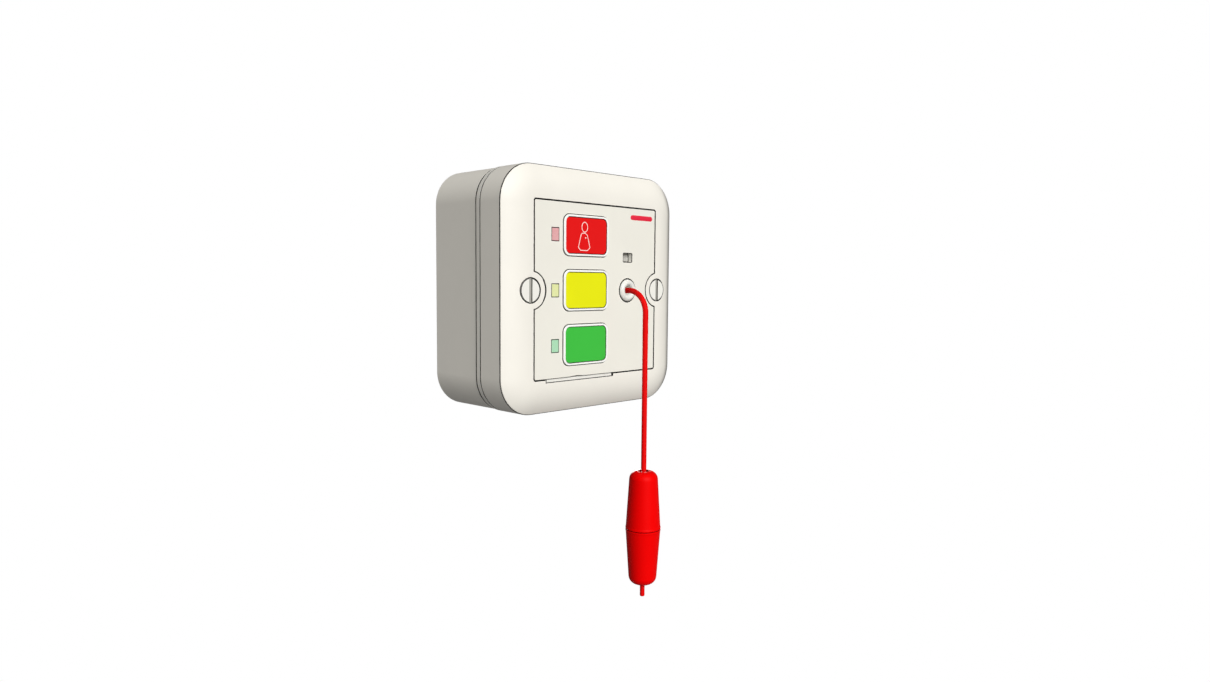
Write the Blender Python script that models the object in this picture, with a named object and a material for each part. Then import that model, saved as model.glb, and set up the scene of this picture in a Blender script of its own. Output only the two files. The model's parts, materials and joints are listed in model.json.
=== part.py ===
"""Surface-mounted call switch: a square wall box, a domed front frame, a flush
front plate with three buttons, three light windows and a pull cord with a
two-part handle.

Millimetres inside this file, metres in the scene. X runs to the right seen from
the front, -Y points out of the wall, +Z is up. The origin is the middle of the
box's wall face.
"""

import math

import bmesh
import bpy

for old in list(bpy.data.objects):
    bpy.data.objects.remove(old, do_unlink=True)

MM = 0.001

# ---- driving dimensions, mm -------------------------------------------------
# Names ending in _FACE and _BACK are Y positions: front and wall side.
GAP = 0.2  # clearance between stacked parts
BOX_SIDE, BOX_CORNER, BOX_FRONT = 79.6, 11.8, -23.0
BOX_WALL, BOX_FLOOR = 2.0, 2.5
BOX_SCREW_Z = 30.0
ENTRY_Z = 17.0  # cable entry

RING_SIDE, RING_CORNER = 80.2, 12.5
RING_BACK, RING_FACE = BOX_FRONT - GAP, -25.2
COVER_SCREW_X = 30.0
BOARD_SCREWS = ((-22, -23), (22, 23))
OTHER_LEGS = ((-22, 23), (22, -23))

FRAME_BACK, FRAME_CREASE, FRAME_FACE = RING_FACE - GAP, -35.1, -38.0
EAR_RADIUS = 5.96

PLATE_WIDTH, PLATE_HEIGHT = 57.2, 57.4
PLATE_FACE, PLATE_BACK = FRAME_FACE, -35.8
SHOULDER_FACE = PLATE_BACK + 0.3  # flanges of parts that show through the plate

BOARD_FACE, BOARD_BACK = -29.0, -27.4
FRONT_SEAT, REAR_SEAT = BOARD_FACE - GAP, BOARD_BACK + GAP  # parts on the board
LOW_PART_FACE = -30.5  # light sources and chip
TERMINAL_X = -18.4

BUTTON_X, BUTTON_PITCH = -5.73, 18.05
ROWS = (("top", BUTTON_PITCH), ("middle", 0.0), ("bottom", -BUTTON_PITCH))
CAP_WIDTH, CAP_HEIGHT, CAP_CORNER, CAP_FACE = 20.2, 13.2, 2.5, -38.45
INLAY_WIDTH, INLAY_HEIGHT, INLAY_CORNER = 18.4, 11.7, 1.5
WINDOW_X = -19.7
PORT_X, PORT_Z = 14.25, 11.35

CORD_X, CORD_Z, CORD_RADIUS, BEND_RADIUS = 14.3, -0.1, 1.0, 6.6
BUSHING_RADIUS = 4.0
HANG_Y = -46.95
HINGE = (CORD_X, HANG_Y, CORD_Z - BEND_RADIUS)  # origin of all hanging pieces
CORD_SPLIT_Z, CORD_END_Z = -34.0, -108.5
HANDLE_TOP, HANDLE_SEAM, HANDLE_END = -63.6, -84.05, -103.45

# Y ranges of cutters that pass right through a part
PLATE_CUT = (-45.0, -30.0)
BOARD_CUT = (-45.0, -20.0)
RING_CUT = (-20.0, -36.0)


# ---- mesh helpers -----------------------------------------------------------
def solid(name, verts, faces, origin=(0.0, 0.0, 0.0)):
    """A closed mesh from points in mm, with its own origin in mm."""
    mesh = bpy.data.meshes.new(name)
    mesh.from_pydata(
        [tuple((v[i] - origin[i]) * MM for i in range(3)) for v in verts], [], faces
    )
    work = bmesh.new()
    work.from_mesh(mesh)
    bmesh.ops.recalc_face_normals(work, faces=work.faces)
    work.to_mesh(mesh)
    work.free()
    obj = bpy.data.objects.new(name, mesh)
    obj.location = tuple(v * MM for v in origin)
    bpy.context.scene.collection.objects.link(obj)
    return obj


def loft(name, rings, closed=False, origin=(0.0, 0.0, 0.0)):
    """Joins rings of equal length; open lofts get flat end caps."""
    size, count = len(rings[0]), len(rings)
    verts = [v for ring in rings for v in ring]
    faces = []
    for i in range(count if closed else count - 1):
        this, following = i * size, ((i + 1) % count) * size
        for j in range(size):
            k = (j + 1) % size
            faces.append((this + j, this + k, following + k, following + j))
    if not closed:
        faces.append(tuple(range(size)))
        faces.append(tuple((count - 1) * size + j for j in range(size)))
    return solid(name, verts, faces, origin)


def rounded(width, height, radius, centre_x=0.0, centre_z=0.0, steps=5):
    """Rounded rectangle in X and Z."""
    points = []
    for side_x, side_z, start in ((1, 1, 0), (-1, 1, 90), (-1, -1, 180), (1, -1, 270)):
        for i in range(steps + 1):
            angle = math.radians(start + 90 * i / steps)
            points.append(
                (
                    centre_x + side_x * (width / 2 - radius) + radius * math.cos(angle),
                    centre_z + side_z * (height / 2 - radius) + radius * math.sin(angle),
                )
            )
    return points


def inset(side, corner, depth, steps=7, slope=1.0):
    """Rounded square moved in by depth; its corner radius shrinks by slope."""
    width = side - 2 * depth
    return rounded(width, width, max(0.6, corner - depth * slope), steps=steps)


def square(x0, x1, z0, z1):
    """Sharp rectangle between its edges."""
    return [(x1, z1), (x0, z1), (x0, z0), (x1, z0)]


def centred(x, z, half_width, half_height):
    """Sharp rectangle round a centre."""
    return square(x - half_width, x + half_width, z - half_height, z + half_height)


def circle(centre_x, centre_z, radius, sides=24):
    return [
        (
            centre_x + radius * math.cos(2 * math.pi * i / sides),
            centre_z + radius * math.sin(2 * math.pi * i / sides),
        )
        for i in range(sides)
    ]


def at(outline, y):
    return [(x, y, z) for x, z in outline]


def prism(name, outline, y0, y1, origin=(0.0, 0.0, 0.0)):
    return loft(name, [at(outline, y0), at(outline, y1)], origin=origin)


def bar(outline, y0, y1):
    """Nameless prism, to be joined on or cut away."""
    return prism("tool", outline, y0, y1)


def rod(x, z, radius, sides, y0, y1):
    """Nameless round bar along Y, to be joined on or cut away."""
    return bar(circle(x, z, radius, sides), y0, y1)


def stepped(name, x, z, stations):
    """Stepped block from (half width, half height, y) stations."""
    return loft(name, [at(centred(x, z, w, h), y) for w, h, y in stations])


def turned_y(name, profile, x, z, sides=24, closed=False, origin=(0.0, 0.0, 0.0)):
    """Turns (radius, y) round an axis along Y."""
    rings = [at(circle(x, z, radius, sides), y) for radius, y in profile]
    return loft(name, rings, closed, origin)


def turned_z(name, profile, centre_x, centre_y, sides, closed=False, origin=(0.0, 0.0, 0.0)):
    """Turns (radius, z) round an axis along Z."""
    rings = [
        [(x, y, z) for x, y in circle(centre_x, centre_y, radius, sides)]
        for radius, z in profile
    ]
    return loft(name, rings, closed, origin)


def combine(obj, other, operation):
    """Applies one exact Boolean and removes the second solid."""
    mod = obj.modifiers.new("cut", "BOOLEAN")
    mod.operation, mod.object, mod.solver = operation, other, "EXACT"
    bpy.context.view_layer.update()
    graph = bpy.context.evaluated_depsgraph_get()
    result = bpy.data.meshes.new_from_object(obj.evaluated_get(graph))
    result.name = obj.name
    obj.modifiers.clear()
    obj.data = result
    bpy.data.objects.remove(other, do_unlink=True)


def cut(obj, *cutters):
    for cutter in cutters:
        combine(obj, cutter, "DIFFERENCE")


def join(obj, *others):
    for other in others:
        combine(obj, other, "UNION")


# ---- wall box ---------------------------------------------------------------
# inset from the side, y: round the outside, over the rim, down to the floor
BOX_PROFILE = [
    (0.6, 0.0),
    (0.0, -0.6),
    (0.0, BOX_FRONT),
    (BOX_WALL, BOX_FRONT),
    (BOX_WALL, -BOX_FLOOR),
]
FLOOR_CUT = (1.0, -4.0)  # Y range
SLOT_X = 30.0
# radius, y
GROMMET_PROFILE = [
    (2.4, -4.3), (2.4, -0.4), (5.7, -0.4), (5.7, -2.8), (7.4, -2.8), (7.2, -4.3),
]


def build_back_box():
    box = loft(
        "back_box",
        [at(inset(BOX_SIDE, BOX_CORNER, depth), y) for depth, y in BOX_PROFILE],
    )
    for z in (BOX_SCREW_Z, -BOX_SCREW_Z):
        join(box, rod(0, z, 3.6, 16, -1.8, -22.9))
    for z in (BOX_SCREW_Z, -BOX_SCREW_Z):
        cut(box, rod(0, z, 1.6, 12, -9.0, -24.0))
    for x in (-SLOT_X, SLOT_X):
        cut(box, bar(rounded(9.0, 4.4, 2.19, x, 0, 4), *FLOOR_CUT))
    cut(box, rod(0, ENTRY_Z, 6.0, 24, *FLOOR_CUT))


def build_cable_grommet():
    turned_y("cable_grommet", GROMMET_PROFILE, 0, ENTRY_Z, closed=True)


# ---- mounting frame between the box and the front frame ---------------------
POST_RADIUS, POST_FACE = 3.7, -33.6  # take the cover screws
LEG_RADIUS, LEG_FACE = 2.4, -27.1  # stand behind the circuit board
POST_ROOT = -24.0
SCREW_HOLE_RADIUS, BOARD_HOLE_RADIUS = 1.8, 1.2


def build_mounting_frame():
    frame = prism(
        "mounting_frame", inset(RING_SIDE, RING_CORNER, 0.0), RING_BACK, RING_FACE
    )
    cover_screws = ((-COVER_SCREW_X, 0), (COVER_SCREW_X, 0))
    box_screws = ((0, BOX_SCREW_Z), (0, -BOX_SCREW_Z))
    for x, z in cover_screws:
        join(frame, rod(x, z, POST_RADIUS, 16, POST_ROOT, POST_FACE))
    for x, z in BOARD_SCREWS + OTHER_LEGS:
        join(frame, rod(x, z, LEG_RADIUS, 16, POST_ROOT, LEG_FACE))
    for x, z in cover_screws + box_screws:
        cut(frame, rod(x, z, SCREW_HOLE_RADIUS, 12, *RING_CUT))
    for x, z in BOARD_SCREWS:
        cut(frame, rod(x, z, BOARD_HOLE_RADIUS, 12, *RING_CUT))
    # openings for the pull mechanism on the right and the terminals on the left
    cut(
        frame,
        bar(rounded(30.0, 18.0, 1.5, 7.0, 0, 3), -20.0, -30.0),
        bar(rounded(13.6, 22.0, 1.5, TERMINAL_X, 0, 3), -20.0, -30.0),
    )


# ---- screws -----------------------------------------------------------------
# face, under and tip are the Y of the head's front, its underside and the point
BOX_SCREW = dict(
    head_radius=2.9, face=-27.2, under=RING_FACE - GAP, tip=-12.0,
    shank_radius=1.3, slot_width=0.8, slot_depth=0.8, sides=16,
)
BOARD_SCREW = dict(
    head_radius=2.1, face=LOW_PART_FACE, under=FRONT_SEAT, tip=-23.6,
    shank_radius=0.9, slot_width=0.7, slot_depth=0.6, sides=16,
)
COVER_SCREW = dict(
    head_radius=4.0, face=-37.83, under=-36.0, tip=-24.4,
    shank_radius=1.5, slot_width=1.2, slot_depth=1.0, sides=32,
)


def screw(
    name, x, z, *, head_radius, face, under, tip, shank_radius, slot_width, slot_depth, sides
):
    """Screw along Y, its head to the front, with an upright driver slot."""
    body = turned_y(
        name,
        [
            (head_radius - 0.25, face),
            (head_radius, face + 0.2),
            (head_radius, under),
            (shank_radius, under),
            (shank_radius, tip - 0.6),
            (shank_radius - 0.5, tip),
        ],
        x,
        z,
        sides,
    )
    slot = centred(x, z, slot_width / 2, head_radius + 1)
    cut(body, bar(slot, face - 1, face + slot_depth))


def build_screws():
    screw("box_screw_top", 0, BOX_SCREW_Z, **BOX_SCREW)
    screw("box_screw_bottom", 0, -BOX_SCREW_Z, **BOX_SCREW)
    for word, (x, z) in zip(("left", "right"), BOARD_SCREWS):
        screw(f"board_screw_{word}", x, z, **BOARD_SCREW)
    screw("cover_screw_left", -COVER_SCREW_X, 0, **COVER_SCREW)
    screw("cover_screw_right", COVER_SCREW_X, 0, **COVER_SCREW)


# ---- front frame ------------------------------------------------------------
FRAME_BAND, FRAME_WALL = 11.1, 2.0  # width of the domed band, side wall
DOME_STEPS, DOME_POWER = 6, 2.6
INNER_CORNER = 0.9  # corner radius at the inside of the band
EAR_EDGE, EAR_BACK, EAR_STEPS = 29.4, -34.4, 14


def frame_profile():
    """Section of the frame as (inset, y), outside first."""
    profile = [(0.0, FRAME_BACK), (0.0, FRAME_CREASE)]
    for i in range(1, DOME_STEPS + 1):
        share = i / DOME_STEPS
        rise = 1 - (1 - share) ** DOME_POWER
        profile.append(
            (FRAME_BAND * share, FRAME_CREASE + (FRAME_FACE - FRAME_CREASE) * rise)
        )
    return profile + [
        (FRAME_BAND, -35.6),
        (12.9, -35.6),
        (12.9, -34.3),
        (4.5, -34.3),
        (FRAME_WALL, -32.4),
        (FRAME_WALL, FRAME_BACK),
    ]


def ear(side):
    """Segment of the round ear that reaches in over the plate's notch."""
    reach = math.acos((COVER_SCREW_X - EAR_EDGE) / EAR_RADIUS)
    points = []
    for i in range(EAR_STEPS + 1):
        angle = math.pi - reach + 2 * reach * i / EAR_STEPS
        x = COVER_SCREW_X + EAR_RADIUS * math.cos(angle)
        points.append((side * x, EAR_RADIUS * math.sin(angle)))
    return bar(points, FRAME_FACE, EAR_BACK)


def build_front_frame():
    slope = (RING_CORNER - INNER_CORNER) / FRAME_BAND
    frame = loft(
        "front_frame",
        [
            at(inset(RING_SIDE, RING_CORNER, depth, 8, slope), y)
            for depth, y in frame_profile()
        ],
        closed=True,
    )
    join(frame, ear(-1), ear(1))
    head_bore = COVER_SCREW["head_radius"] + 0.3
    for x in (-COVER_SCREW_X, COVER_SCREW_X):
        cut(frame, rod(x, 0, head_bore, 32, -45.0, -35.7))
    for x in (-COVER_SCREW_X, COVER_SCREW_X):
        cut(frame, rod(x, 0, 1.9, 12, -45.0, -30.0))
    # recess for the release tab
    cut(frame, bar(square(-23.7, 7.5, -30.15, -28.0), -45.0, -36.2))


def build_release_tab():
    prism("release_tab", square(-23.5, 7.2, -29.95, -29.0), -37.4, -36.4)


# ---- front plate ------------------------------------------------------------
NOTCH_RADIUS = EAR_RADIUS + 0.4
OPENING_WIDTH, OPENING_HEIGHT, OPENING_CORNER = 21.0, 14.0, 2.8
PORT_WIDTH, PORT_HEIGHT = 4.3, 2.9
# shallow arc in the lower edge; its centre lies DIP_DROP below that edge
DIP_X, DIP_DROP, DIP_RADIUS = -10.1, 13.6, 14.0


def build_front_plate():
    plate = prism(
        "front_plate", rounded(PLATE_WIDTH, PLATE_HEIGHT, 0.5, steps=2), PLATE_FACE, PLATE_BACK
    )
    cut(
        plate,
        rod(-COVER_SCREW_X, 0, NOTCH_RADIUS, 48, *PLATE_CUT),
        rod(COVER_SCREW_X, 0, NOTCH_RADIUS, 48, *PLATE_CUT),
        bar(centred(PORT_X, PORT_Z, PORT_WIDTH / 2, PORT_HEIGHT / 2), *PLATE_CUT),
        rod(DIP_X, -PLATE_HEIGHT / 2 - DIP_DROP, DIP_RADIUS, 128, *PLATE_CUT),
        rod(CORD_X, CORD_Z, BUSHING_RADIUS + 0.4, 32, *PLATE_CUT),
    )
    for _, z in ROWS:
        opening = rounded(OPENING_WIDTH, OPENING_HEIGHT, OPENING_CORNER, BUTTON_X, z)
        cut(
            plate,
            bar(opening, *PLATE_CUT),
            bar(centred(WINDOW_X, z, 1.7, 2.25), *PLATE_CUT),
        )


# half width, half height, y
PORT_STATIONS = [
    (1.95, 1.25, -36.25),
    (1.95, 1.25, SHOULDER_FACE),
    (3.2, 2.5, SHOULDER_FACE),
    (3.2, 2.5, -34.4),
]


def build_port_insert():
    stepped("port_insert", PORT_X, PORT_Z, PORT_STATIONS)


# ---- circuit board and the fixed parts on it --------------------------------
def build_circuit_board():
    board = prism("circuit_board", rounded(51.0, 53.0, 1.5, steps=3), BOARD_FACE, BOARD_BACK)
    cut(board, rod(CORD_X, CORD_Z, 5.4, 24, *BOARD_CUT))
    for x, z in BOARD_SCREWS:
        cut(board, rod(x, z, 1.3, 12, *BOARD_CUT))


def build_control_chip():
    prism("control_chip", square(11.0, 19.0, -21.0, -13.0), LOW_PART_FACE, FRONT_SEAT)


WIRE_HOLES, WIRE_PITCH, FIRST_WIRE_Z = 4, 5.0, -7.5


def build_terminal_block():
    block = prism("terminal_block", centred(TERMINAL_X, 0, 6.0, 10.0), REAR_SEAT, -18.0)
    for i in range(WIRE_HOLES):
        cut(block, rod(TERMINAL_X, FIRST_WIRE_Z + WIRE_PITCH * i, 1.3, 10, -22.0, -15.0))


# ---- button rows: switch, plunger, cap, inlay, window and light source ------
FLANGE = (22.6, 15.6, 3.2)  # width, height, corner radius of the cap's flange
POCKET = (INLAY_WIDTH + 0.4, INLAY_HEIGHT + 0.4, INLAY_CORNER + 0.2)  # same columns
# width, height, corner radius, y: from the back of the flange to the pocket floor
CAP_STATIONS = [
    (*FLANGE, -34.6),
    (*FLANGE, SHOULDER_FACE),
    (CAP_WIDTH, CAP_HEIGHT, CAP_CORNER, SHOULDER_FACE),
    (CAP_WIDTH, CAP_HEIGHT, CAP_CORNER, CAP_FACE + 0.2),
    (CAP_WIDTH - 0.3, CAP_HEIGHT - 0.3, CAP_CORNER - 0.15, CAP_FACE),
    (*POCKET, CAP_FACE),
    (*POCKET, -37.8),
]
# half width, half height, y: from the plate's face back to the light source
WINDOW_STATIONS = [
    (1.45, 2.0, PLATE_FACE),
    (1.45, 2.0, SHOULDER_FACE),
    (2.2, 2.8, SHOULDER_FACE),
    (2.2, 2.8, -34.7),
    (1.3, 1.7, -34.7),
    (1.3, 1.7, -30.8),
]
INLAY_BACK, INLAY_FACE = -38.05, -38.3


def build_tact_switch(word, z):
    body = prism(f"tact_switch_{word}", centred(BUTTON_X, z, 3.0, 3.0), FRONT_SEAT, -32.4)
    cut(body, rod(BUTTON_X, z, 1.95, 16, -40.0, -30.4))


def build_tact_plunger(word, z, origin):
    prism(f"tact_plunger_{word}", circle(BUTTON_X, z, 1.65, 16), -32.95, -31.3, origin)


def build_button(word, z, origin):
    rings = [
        at(rounded(width, height, corner, BUTTON_X, z), y)
        for width, height, corner, y in CAP_STATIONS
    ]
    cap = loft(f"button_{word}", rings, origin=origin)
    join(cap, rod(BUTTON_X, z, 2.0, 16, -36.0, -33.1))


def build_inlay(word, z, origin):
    outline = rounded(INLAY_WIDTH, INLAY_HEIGHT, INLAY_CORNER, BUTTON_X, z)
    prism(f"inlay_{word}", outline, INLAY_BACK, INLAY_FACE, origin)


def build_led(word, z):
    prism(f"led_{word}", centred(WINDOW_X, z, 1.2, 1.6), LOW_PART_FACE, FRONT_SEAT)


def build_rows():
    for word, z in ROWS:
        cap_middle = (BUTTON_X, CAP_FACE, z)  # origin of everything that moves
        build_tact_switch(word, z)
        build_tact_plunger(word, z, cap_middle)
        build_button(word, z, cap_middle)
        build_inlay(word, z, cap_middle)
        stepped(f"window_{word}", WINDOW_X, z, WINDOW_STATIONS)
        build_led(word, z)


# ---- pull mechanism ---------------------------------------------------------
LEVER_X, LEVER_Y = -5.5, -21.35  # pivot
LEVER_LENGTH, LEVER_RISE = 13.5, 3.97  # at rest the tip lies nearer the wall
LEVER_ANGLE = math.asin(LEVER_RISE / LEVER_LENGTH)
PIVOT_RADIUS, SOCKET_RADIUS = 0.45, 0.75


def build_microswitch():
    body = prism("microswitch", square(-7.0, 5.8, -3.2, 3.2), REAR_SEAT, -21.75)
    socket = [(SOCKET_RADIUS, -5.0), (SOCKET_RADIUS, 5.0)]
    cut(body, turned_z("socket", socket, LEVER_X, LEVER_Y, 12))


def lever_point(along, across):
    """X and Y of a point on the lever at rest."""
    cosine, sine = math.cos(LEVER_ANGLE), math.sin(LEVER_ANGLE)
    return (
        LEVER_X + along * cosine - across * sine,
        LEVER_Y + along * sine + across * cosine,
    )


def build_switch_lever():
    """Thin blade that ends in a round pivot."""
    outline = [lever_point(LEVER_LENGTH, -0.2), lever_point(LEVER_LENGTH, 0.2)]
    for i in range(9):
        angle = math.radians(27 + 306 * i / 8)
        outline.append(
            lever_point(PIVOT_RADIUS * math.cos(angle), PIVOT_RADIUS * math.sin(angle))
        )
    loft(
        "switch_lever",
        [[(x, y, z) for x, y in outline] for z in (-1.8, 1.8)],
        origin=(LEVER_X, LEVER_Y, 0.0),
    )


GUIDE_BACK = -25.6
# radius, y
GUIDE_PROFILE = [(3.5, -34.4), (5.0, -34.4), (5.0, GUIDE_BACK), (3.5, GUIDE_BACK)]


def build_pull_guide():
    """Tube with a flange, and a yoke that reaches towards the wall."""
    guide = turned_y("pull_guide", GUIDE_PROFILE, CORD_X, CORD_Z, closed=True)
    flange = bar(centred(CORD_X, 0, 6.4, 11.4), -27.1, GUIDE_BACK)
    cut(flange, rod(CORD_X, CORD_Z, 4.2, 24, -30.0, -20.0))
    yoke = bar(centred(CORD_X, 0, 2.4, 7.3), -26.2, -14.0)
    cut(
        yoke,
        bar(centred(CORD_X, 0, 6.0, 6.1), -30.0, -15.2),
        rod(CORD_X, CORD_Z, 1.95, 16, -20.0, -10.0),  # room for the cord's knot
    )
    join(guide, flange, yoke)


PULLER_FLANGE, PULLER_BACK = -17.0, -15.5
# radius, y
PULLER_PROFILE = [
    (1.35, -30.5), (3.2, -30.5), (3.2, PULLER_FLANGE),
    (5.0, PULLER_FLANGE), (5.0, PULLER_BACK), (1.35, PULLER_BACK),
]


def build_puller():
    """Sleeve on the cord, with a flange and an arm to the left."""
    puller = turned_y(
        "puller",
        PULLER_PROFILE,
        CORD_X,
        CORD_Z,
        closed=True,
        origin=(CORD_X, PULLER_BACK, CORD_Z),
    )
    join(puller, bar(square(5.7, 10.6, -2.0, 2.0), PULLER_FLANGE, PULLER_BACK))


SPRING_FRONT, SPRING_BACK = -25.35, -17.25
COIL_RADIUS, WIRE_RADIUS = 3.95, 0.28
TURNS, STEPS_PER_TURN, WIRE_SIDES = 5, 14, 6


def build_puller_spring():
    rings = []
    total = TURNS * STEPS_PER_TURN
    travel = SPRING_BACK - SPRING_FRONT - 2 * WIRE_RADIUS
    for i in range(total + 1):
        turn = 2 * math.pi * i / STEPS_PER_TURN
        y = SPRING_FRONT + WIRE_RADIUS + travel * i / total
        ring = []
        for j in range(WIRE_SIDES):
            around = 2 * math.pi * j / WIRE_SIDES
            radius = COIL_RADIUS + WIRE_RADIUS * math.cos(around)
            ring.append(
                (
                    CORD_X + radius * math.cos(turn),
                    y + WIRE_RADIUS * math.sin(around),
                    CORD_Z + radius * math.sin(turn),
                )
            )
        rings.append(ring)
    loft("puller_spring", rings)


# ---- bushing and cord -------------------------------------------------------
# radius, y: bore, rounded lip, then the flange behind the plate
BUSHING_PROFILE = [
    (1.6, -34.75), (1.6, -37.7), (1.75, -38.4), (2.15, -38.85),
    (2.75, -39.0), (3.35, -38.8), (3.8, -38.35), (BUSHING_RADIUS, -37.8),
    (BUSHING_RADIUS, SHOULDER_FACE), (5.2, SHOULDER_FACE), (5.2, -34.75),
]
# radius, y: straight cord, then the knot at the wall end
CORD_INNER_PROFILE = [
    (CORD_RADIUS, -30.7), (CORD_RADIUS, -15.3), (1.65, -14.8),
    (1.7, -13.6), (1.3, -12.6), (0.6, -12.3),
]
# radius, z: the bulge is a knot inside the lower handle
CORD_LOWER_PROFILE = [
    (CORD_RADIUS, CORD_SPLIT_Z - 0.15), (CORD_RADIUS, -84.6), (1.75, -85.3),
    (1.9, -86.6), (1.75, -87.9), (CORD_RADIUS, -88.6),
    (CORD_RADIUS, CORD_END_Z + 0.3), (0.7, CORD_END_Z),
]
CORD_SIDES = 14
BEND_STEPS, BEND_SHORTFALL = 8, 1.4  # the arc stops this far short of vertical
DOME_ANGLE, DOME_RINGS = 76, 3  # rounded top of the hanging cord


def build_cord_bushing():
    turned_y("cord_bushing", BUSHING_PROFILE, CORD_X, CORD_Z, 28, closed=True)


def build_cord_inner():
    turned_y("cord_inner", CORD_INNER_PROFILE, CORD_X, CORD_Z, CORD_SIDES)


def build_cord_bend():
    """Cord that leaves the bushing along -Y and bends down."""
    bend_start = HANG_Y + BEND_RADIUS
    # y, z, angle turned from -Y towards -Z
    path = [(-34.95, CORD_Z, 0.0), (bend_start, CORD_Z, 0.0)]
    last = math.pi / 2 - BEND_SHORTFALL / BEND_RADIUS
    for i in range(1, BEND_STEPS + 1):
        angle = last * i / BEND_STEPS
        y = bend_start - BEND_RADIUS * math.sin(angle)
        z = CORD_Z - BEND_RADIUS + BEND_RADIUS * math.cos(angle)
        path.append((y, z, angle))
    # each ring stands square to the path
    rings = [
        [
            (x, y - up * math.sin(angle), z + up * math.cos(angle))
            for x, up in circle(CORD_X, 0.0, CORD_RADIUS, CORD_SIDES)
        ]
        for y, z, angle in path
    ]
    loft("cord_bend", rings, origin=(CORD_X, bend_start, CORD_Z))


def hanging(name, profile, sides, closed=False):
    """Turned piece on the hanging cord's axis."""
    return turned_z(name, profile, CORD_X, HANG_Y, sides, closed, HINGE)


def build_cord_upper():
    profile = []
    for i in range(DOME_RINGS + 1):
        angle = math.radians(DOME_ANGLE * (DOME_RINGS - i) / DOME_RINGS)
        profile.append(
            (CORD_RADIUS * math.cos(angle), HINGE[2] + CORD_RADIUS * math.sin(angle))
        )
    profile.append((CORD_RADIUS, CORD_SPLIT_Z + 0.15))
    hanging("cord_upper", profile, CORD_SIDES)


def build_cord_lower():
    hanging("cord_lower", CORD_LOWER_PROFILE, CORD_SIDES)


# ---- handle -----------------------------------------------------------------
TOP_RADIUS, SEAM_RADIUS, END_RADIUS = 4.98, 6.2, 4.85
END_ROUND, ROUND_STEPS = 2.8, 4
HANDLE_BORE = 1.35


def handle_half(name, side, mouth, end_radius, end_z, inside):
    """Half handle above (side 1) or below (side -1) the seam.

    mouth and inside are (radius, z) points: the flared bore at the end, and
    the way back to the bore from the seam.
    """
    profile = list(mouth)
    for i in range(ROUND_STEPS + 1):
        angle = math.pi / 2 * i / ROUND_STEPS
        profile.append(
            (
                end_radius - END_ROUND + END_ROUND * math.sin(angle),
                end_z - side * (END_ROUND - END_ROUND * math.cos(angle)),
            )
        )
    profile += [
        (SEAM_RADIUS - 0.12, HANDLE_SEAM + side * 0.9),
        (SEAM_RADIUS, HANDLE_SEAM + side * 0.5),
        (SEAM_RADIUS - 0.2, HANDLE_SEAM + side * 0.15),
    ]
    hanging(name, profile + inside, 28, closed=True)


def build_handle_upper():
    handle_half(
        "handle_upper",
        side=1,
        mouth=[(HANDLE_BORE, HANDLE_TOP - 0.9), (1.9, HANDLE_TOP)],
        end_radius=TOP_RADIUS,
        end_z=HANDLE_TOP,
        inside=[(3.4, HANDLE_SEAM + 0.15), (3.4, -77.0), (HANDLE_BORE, -77.0)],
    )


def build_handle_lower():
    """Lower half, with a collar that reaches up into the upper half."""
    handle_half(
        "handle_lower",
        side=-1,
        mouth=[(HANDLE_BORE, HANDLE_END + 0.5), (1.6, HANDLE_END)],
        end_radius=END_RADIUS,
        end_z=HANDLE_END,
        inside=[
            (3.1, HANDLE_SEAM - 0.15), (3.1, -78.5), (2.3, -78.5),
            (2.3, -90.0), (HANDLE_BORE, -90.0),
        ],
    )


# ---- materials and finish ---------------------------------------------------
SHELL, TRIM = (0.88, 0.86, 0.79), (0.88, 0.87, 0.82)
SCREW_STEEL = ((0.62, 0.62, 0.60), 0.35, 1.0)
# start of the object's name: linear RGB, roughness, metallic
LOOKS = {
    "back_box": (SHELL, 0.5, 0.0),
    "cable_grommet": ((0.05, 0.05, 0.05), 0.8, 0.0),
    "mounting_frame": ((0.80, 0.79, 0.74), 0.5, 0.0),
    "front_frame": (SHELL, 0.4, 0.0),
    "front_plate": ((0.84, 0.83, 0.76), 0.45, 0.0),
    "cover_screw": (TRIM, 0.4, 0.0),
    "release_tab": (TRIM, 0.4, 0.0),
    "box_screw": SCREW_STEEL,
    "board_screw": SCREW_STEEL,
    "circuit_board": ((0.02, 0.17, 0.07), 0.45, 0.0),
    "tact_switch": ((0.03, 0.03, 0.03), 0.5, 0.0),
    "tact_plunger": ((0.10, 0.10, 0.10), 0.5, 0.0),
    "button": ((0.90, 0.90, 0.88), 0.35, 0.0),
    "inlay_top": ((0.80, 0.015, 0.015), 0.35, 0.0),
    "inlay_middle": ((0.79, 0.79, 0.015), 0.35, 0.0),
    "inlay_bottom": ((0.065, 0.51, 0.065), 0.35, 0.0),
    "window_top": ((0.78, 0.41, 0.42), 0.2, 0.0),
    "window_middle": ((0.78, 0.82, 0.42), 0.2, 0.0),
    "window_bottom": ((0.42, 0.72, 0.47), 0.2, 0.0),
    "led": ((0.85, 0.85, 0.80), 0.3, 0.0),
    "port_insert": ((0.25, 0.25, 0.24), 0.4, 0.0),
    "control_chip": ((0.015, 0.015, 0.017), 0.5, 0.0),
    "terminal_block": ((0.05, 0.22, 0.10), 0.5, 0.0),
    "microswitch": ((0.02, 0.02, 0.02), 0.5, 0.0),
    "switch_lever": ((0.70, 0.70, 0.68), 0.3, 1.0),
    "pull_guide": ((0.55, 0.55, 0.52), 0.5, 0.0),
    "puller_spring": ((0.60, 0.60, 0.58), 0.3, 1.0),
    "puller": ((0.85, 0.84, 0.80), 0.4, 0.0),
    "cord_bushing": ((0.86, 0.85, 0.80), 0.35, 0.0),
    "cord": ((0.70, 0.0, 0.0), 0.7, 0.0),
    "handle": ((0.72, 0.0, 0.0), 0.35, 0.0),
}


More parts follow.
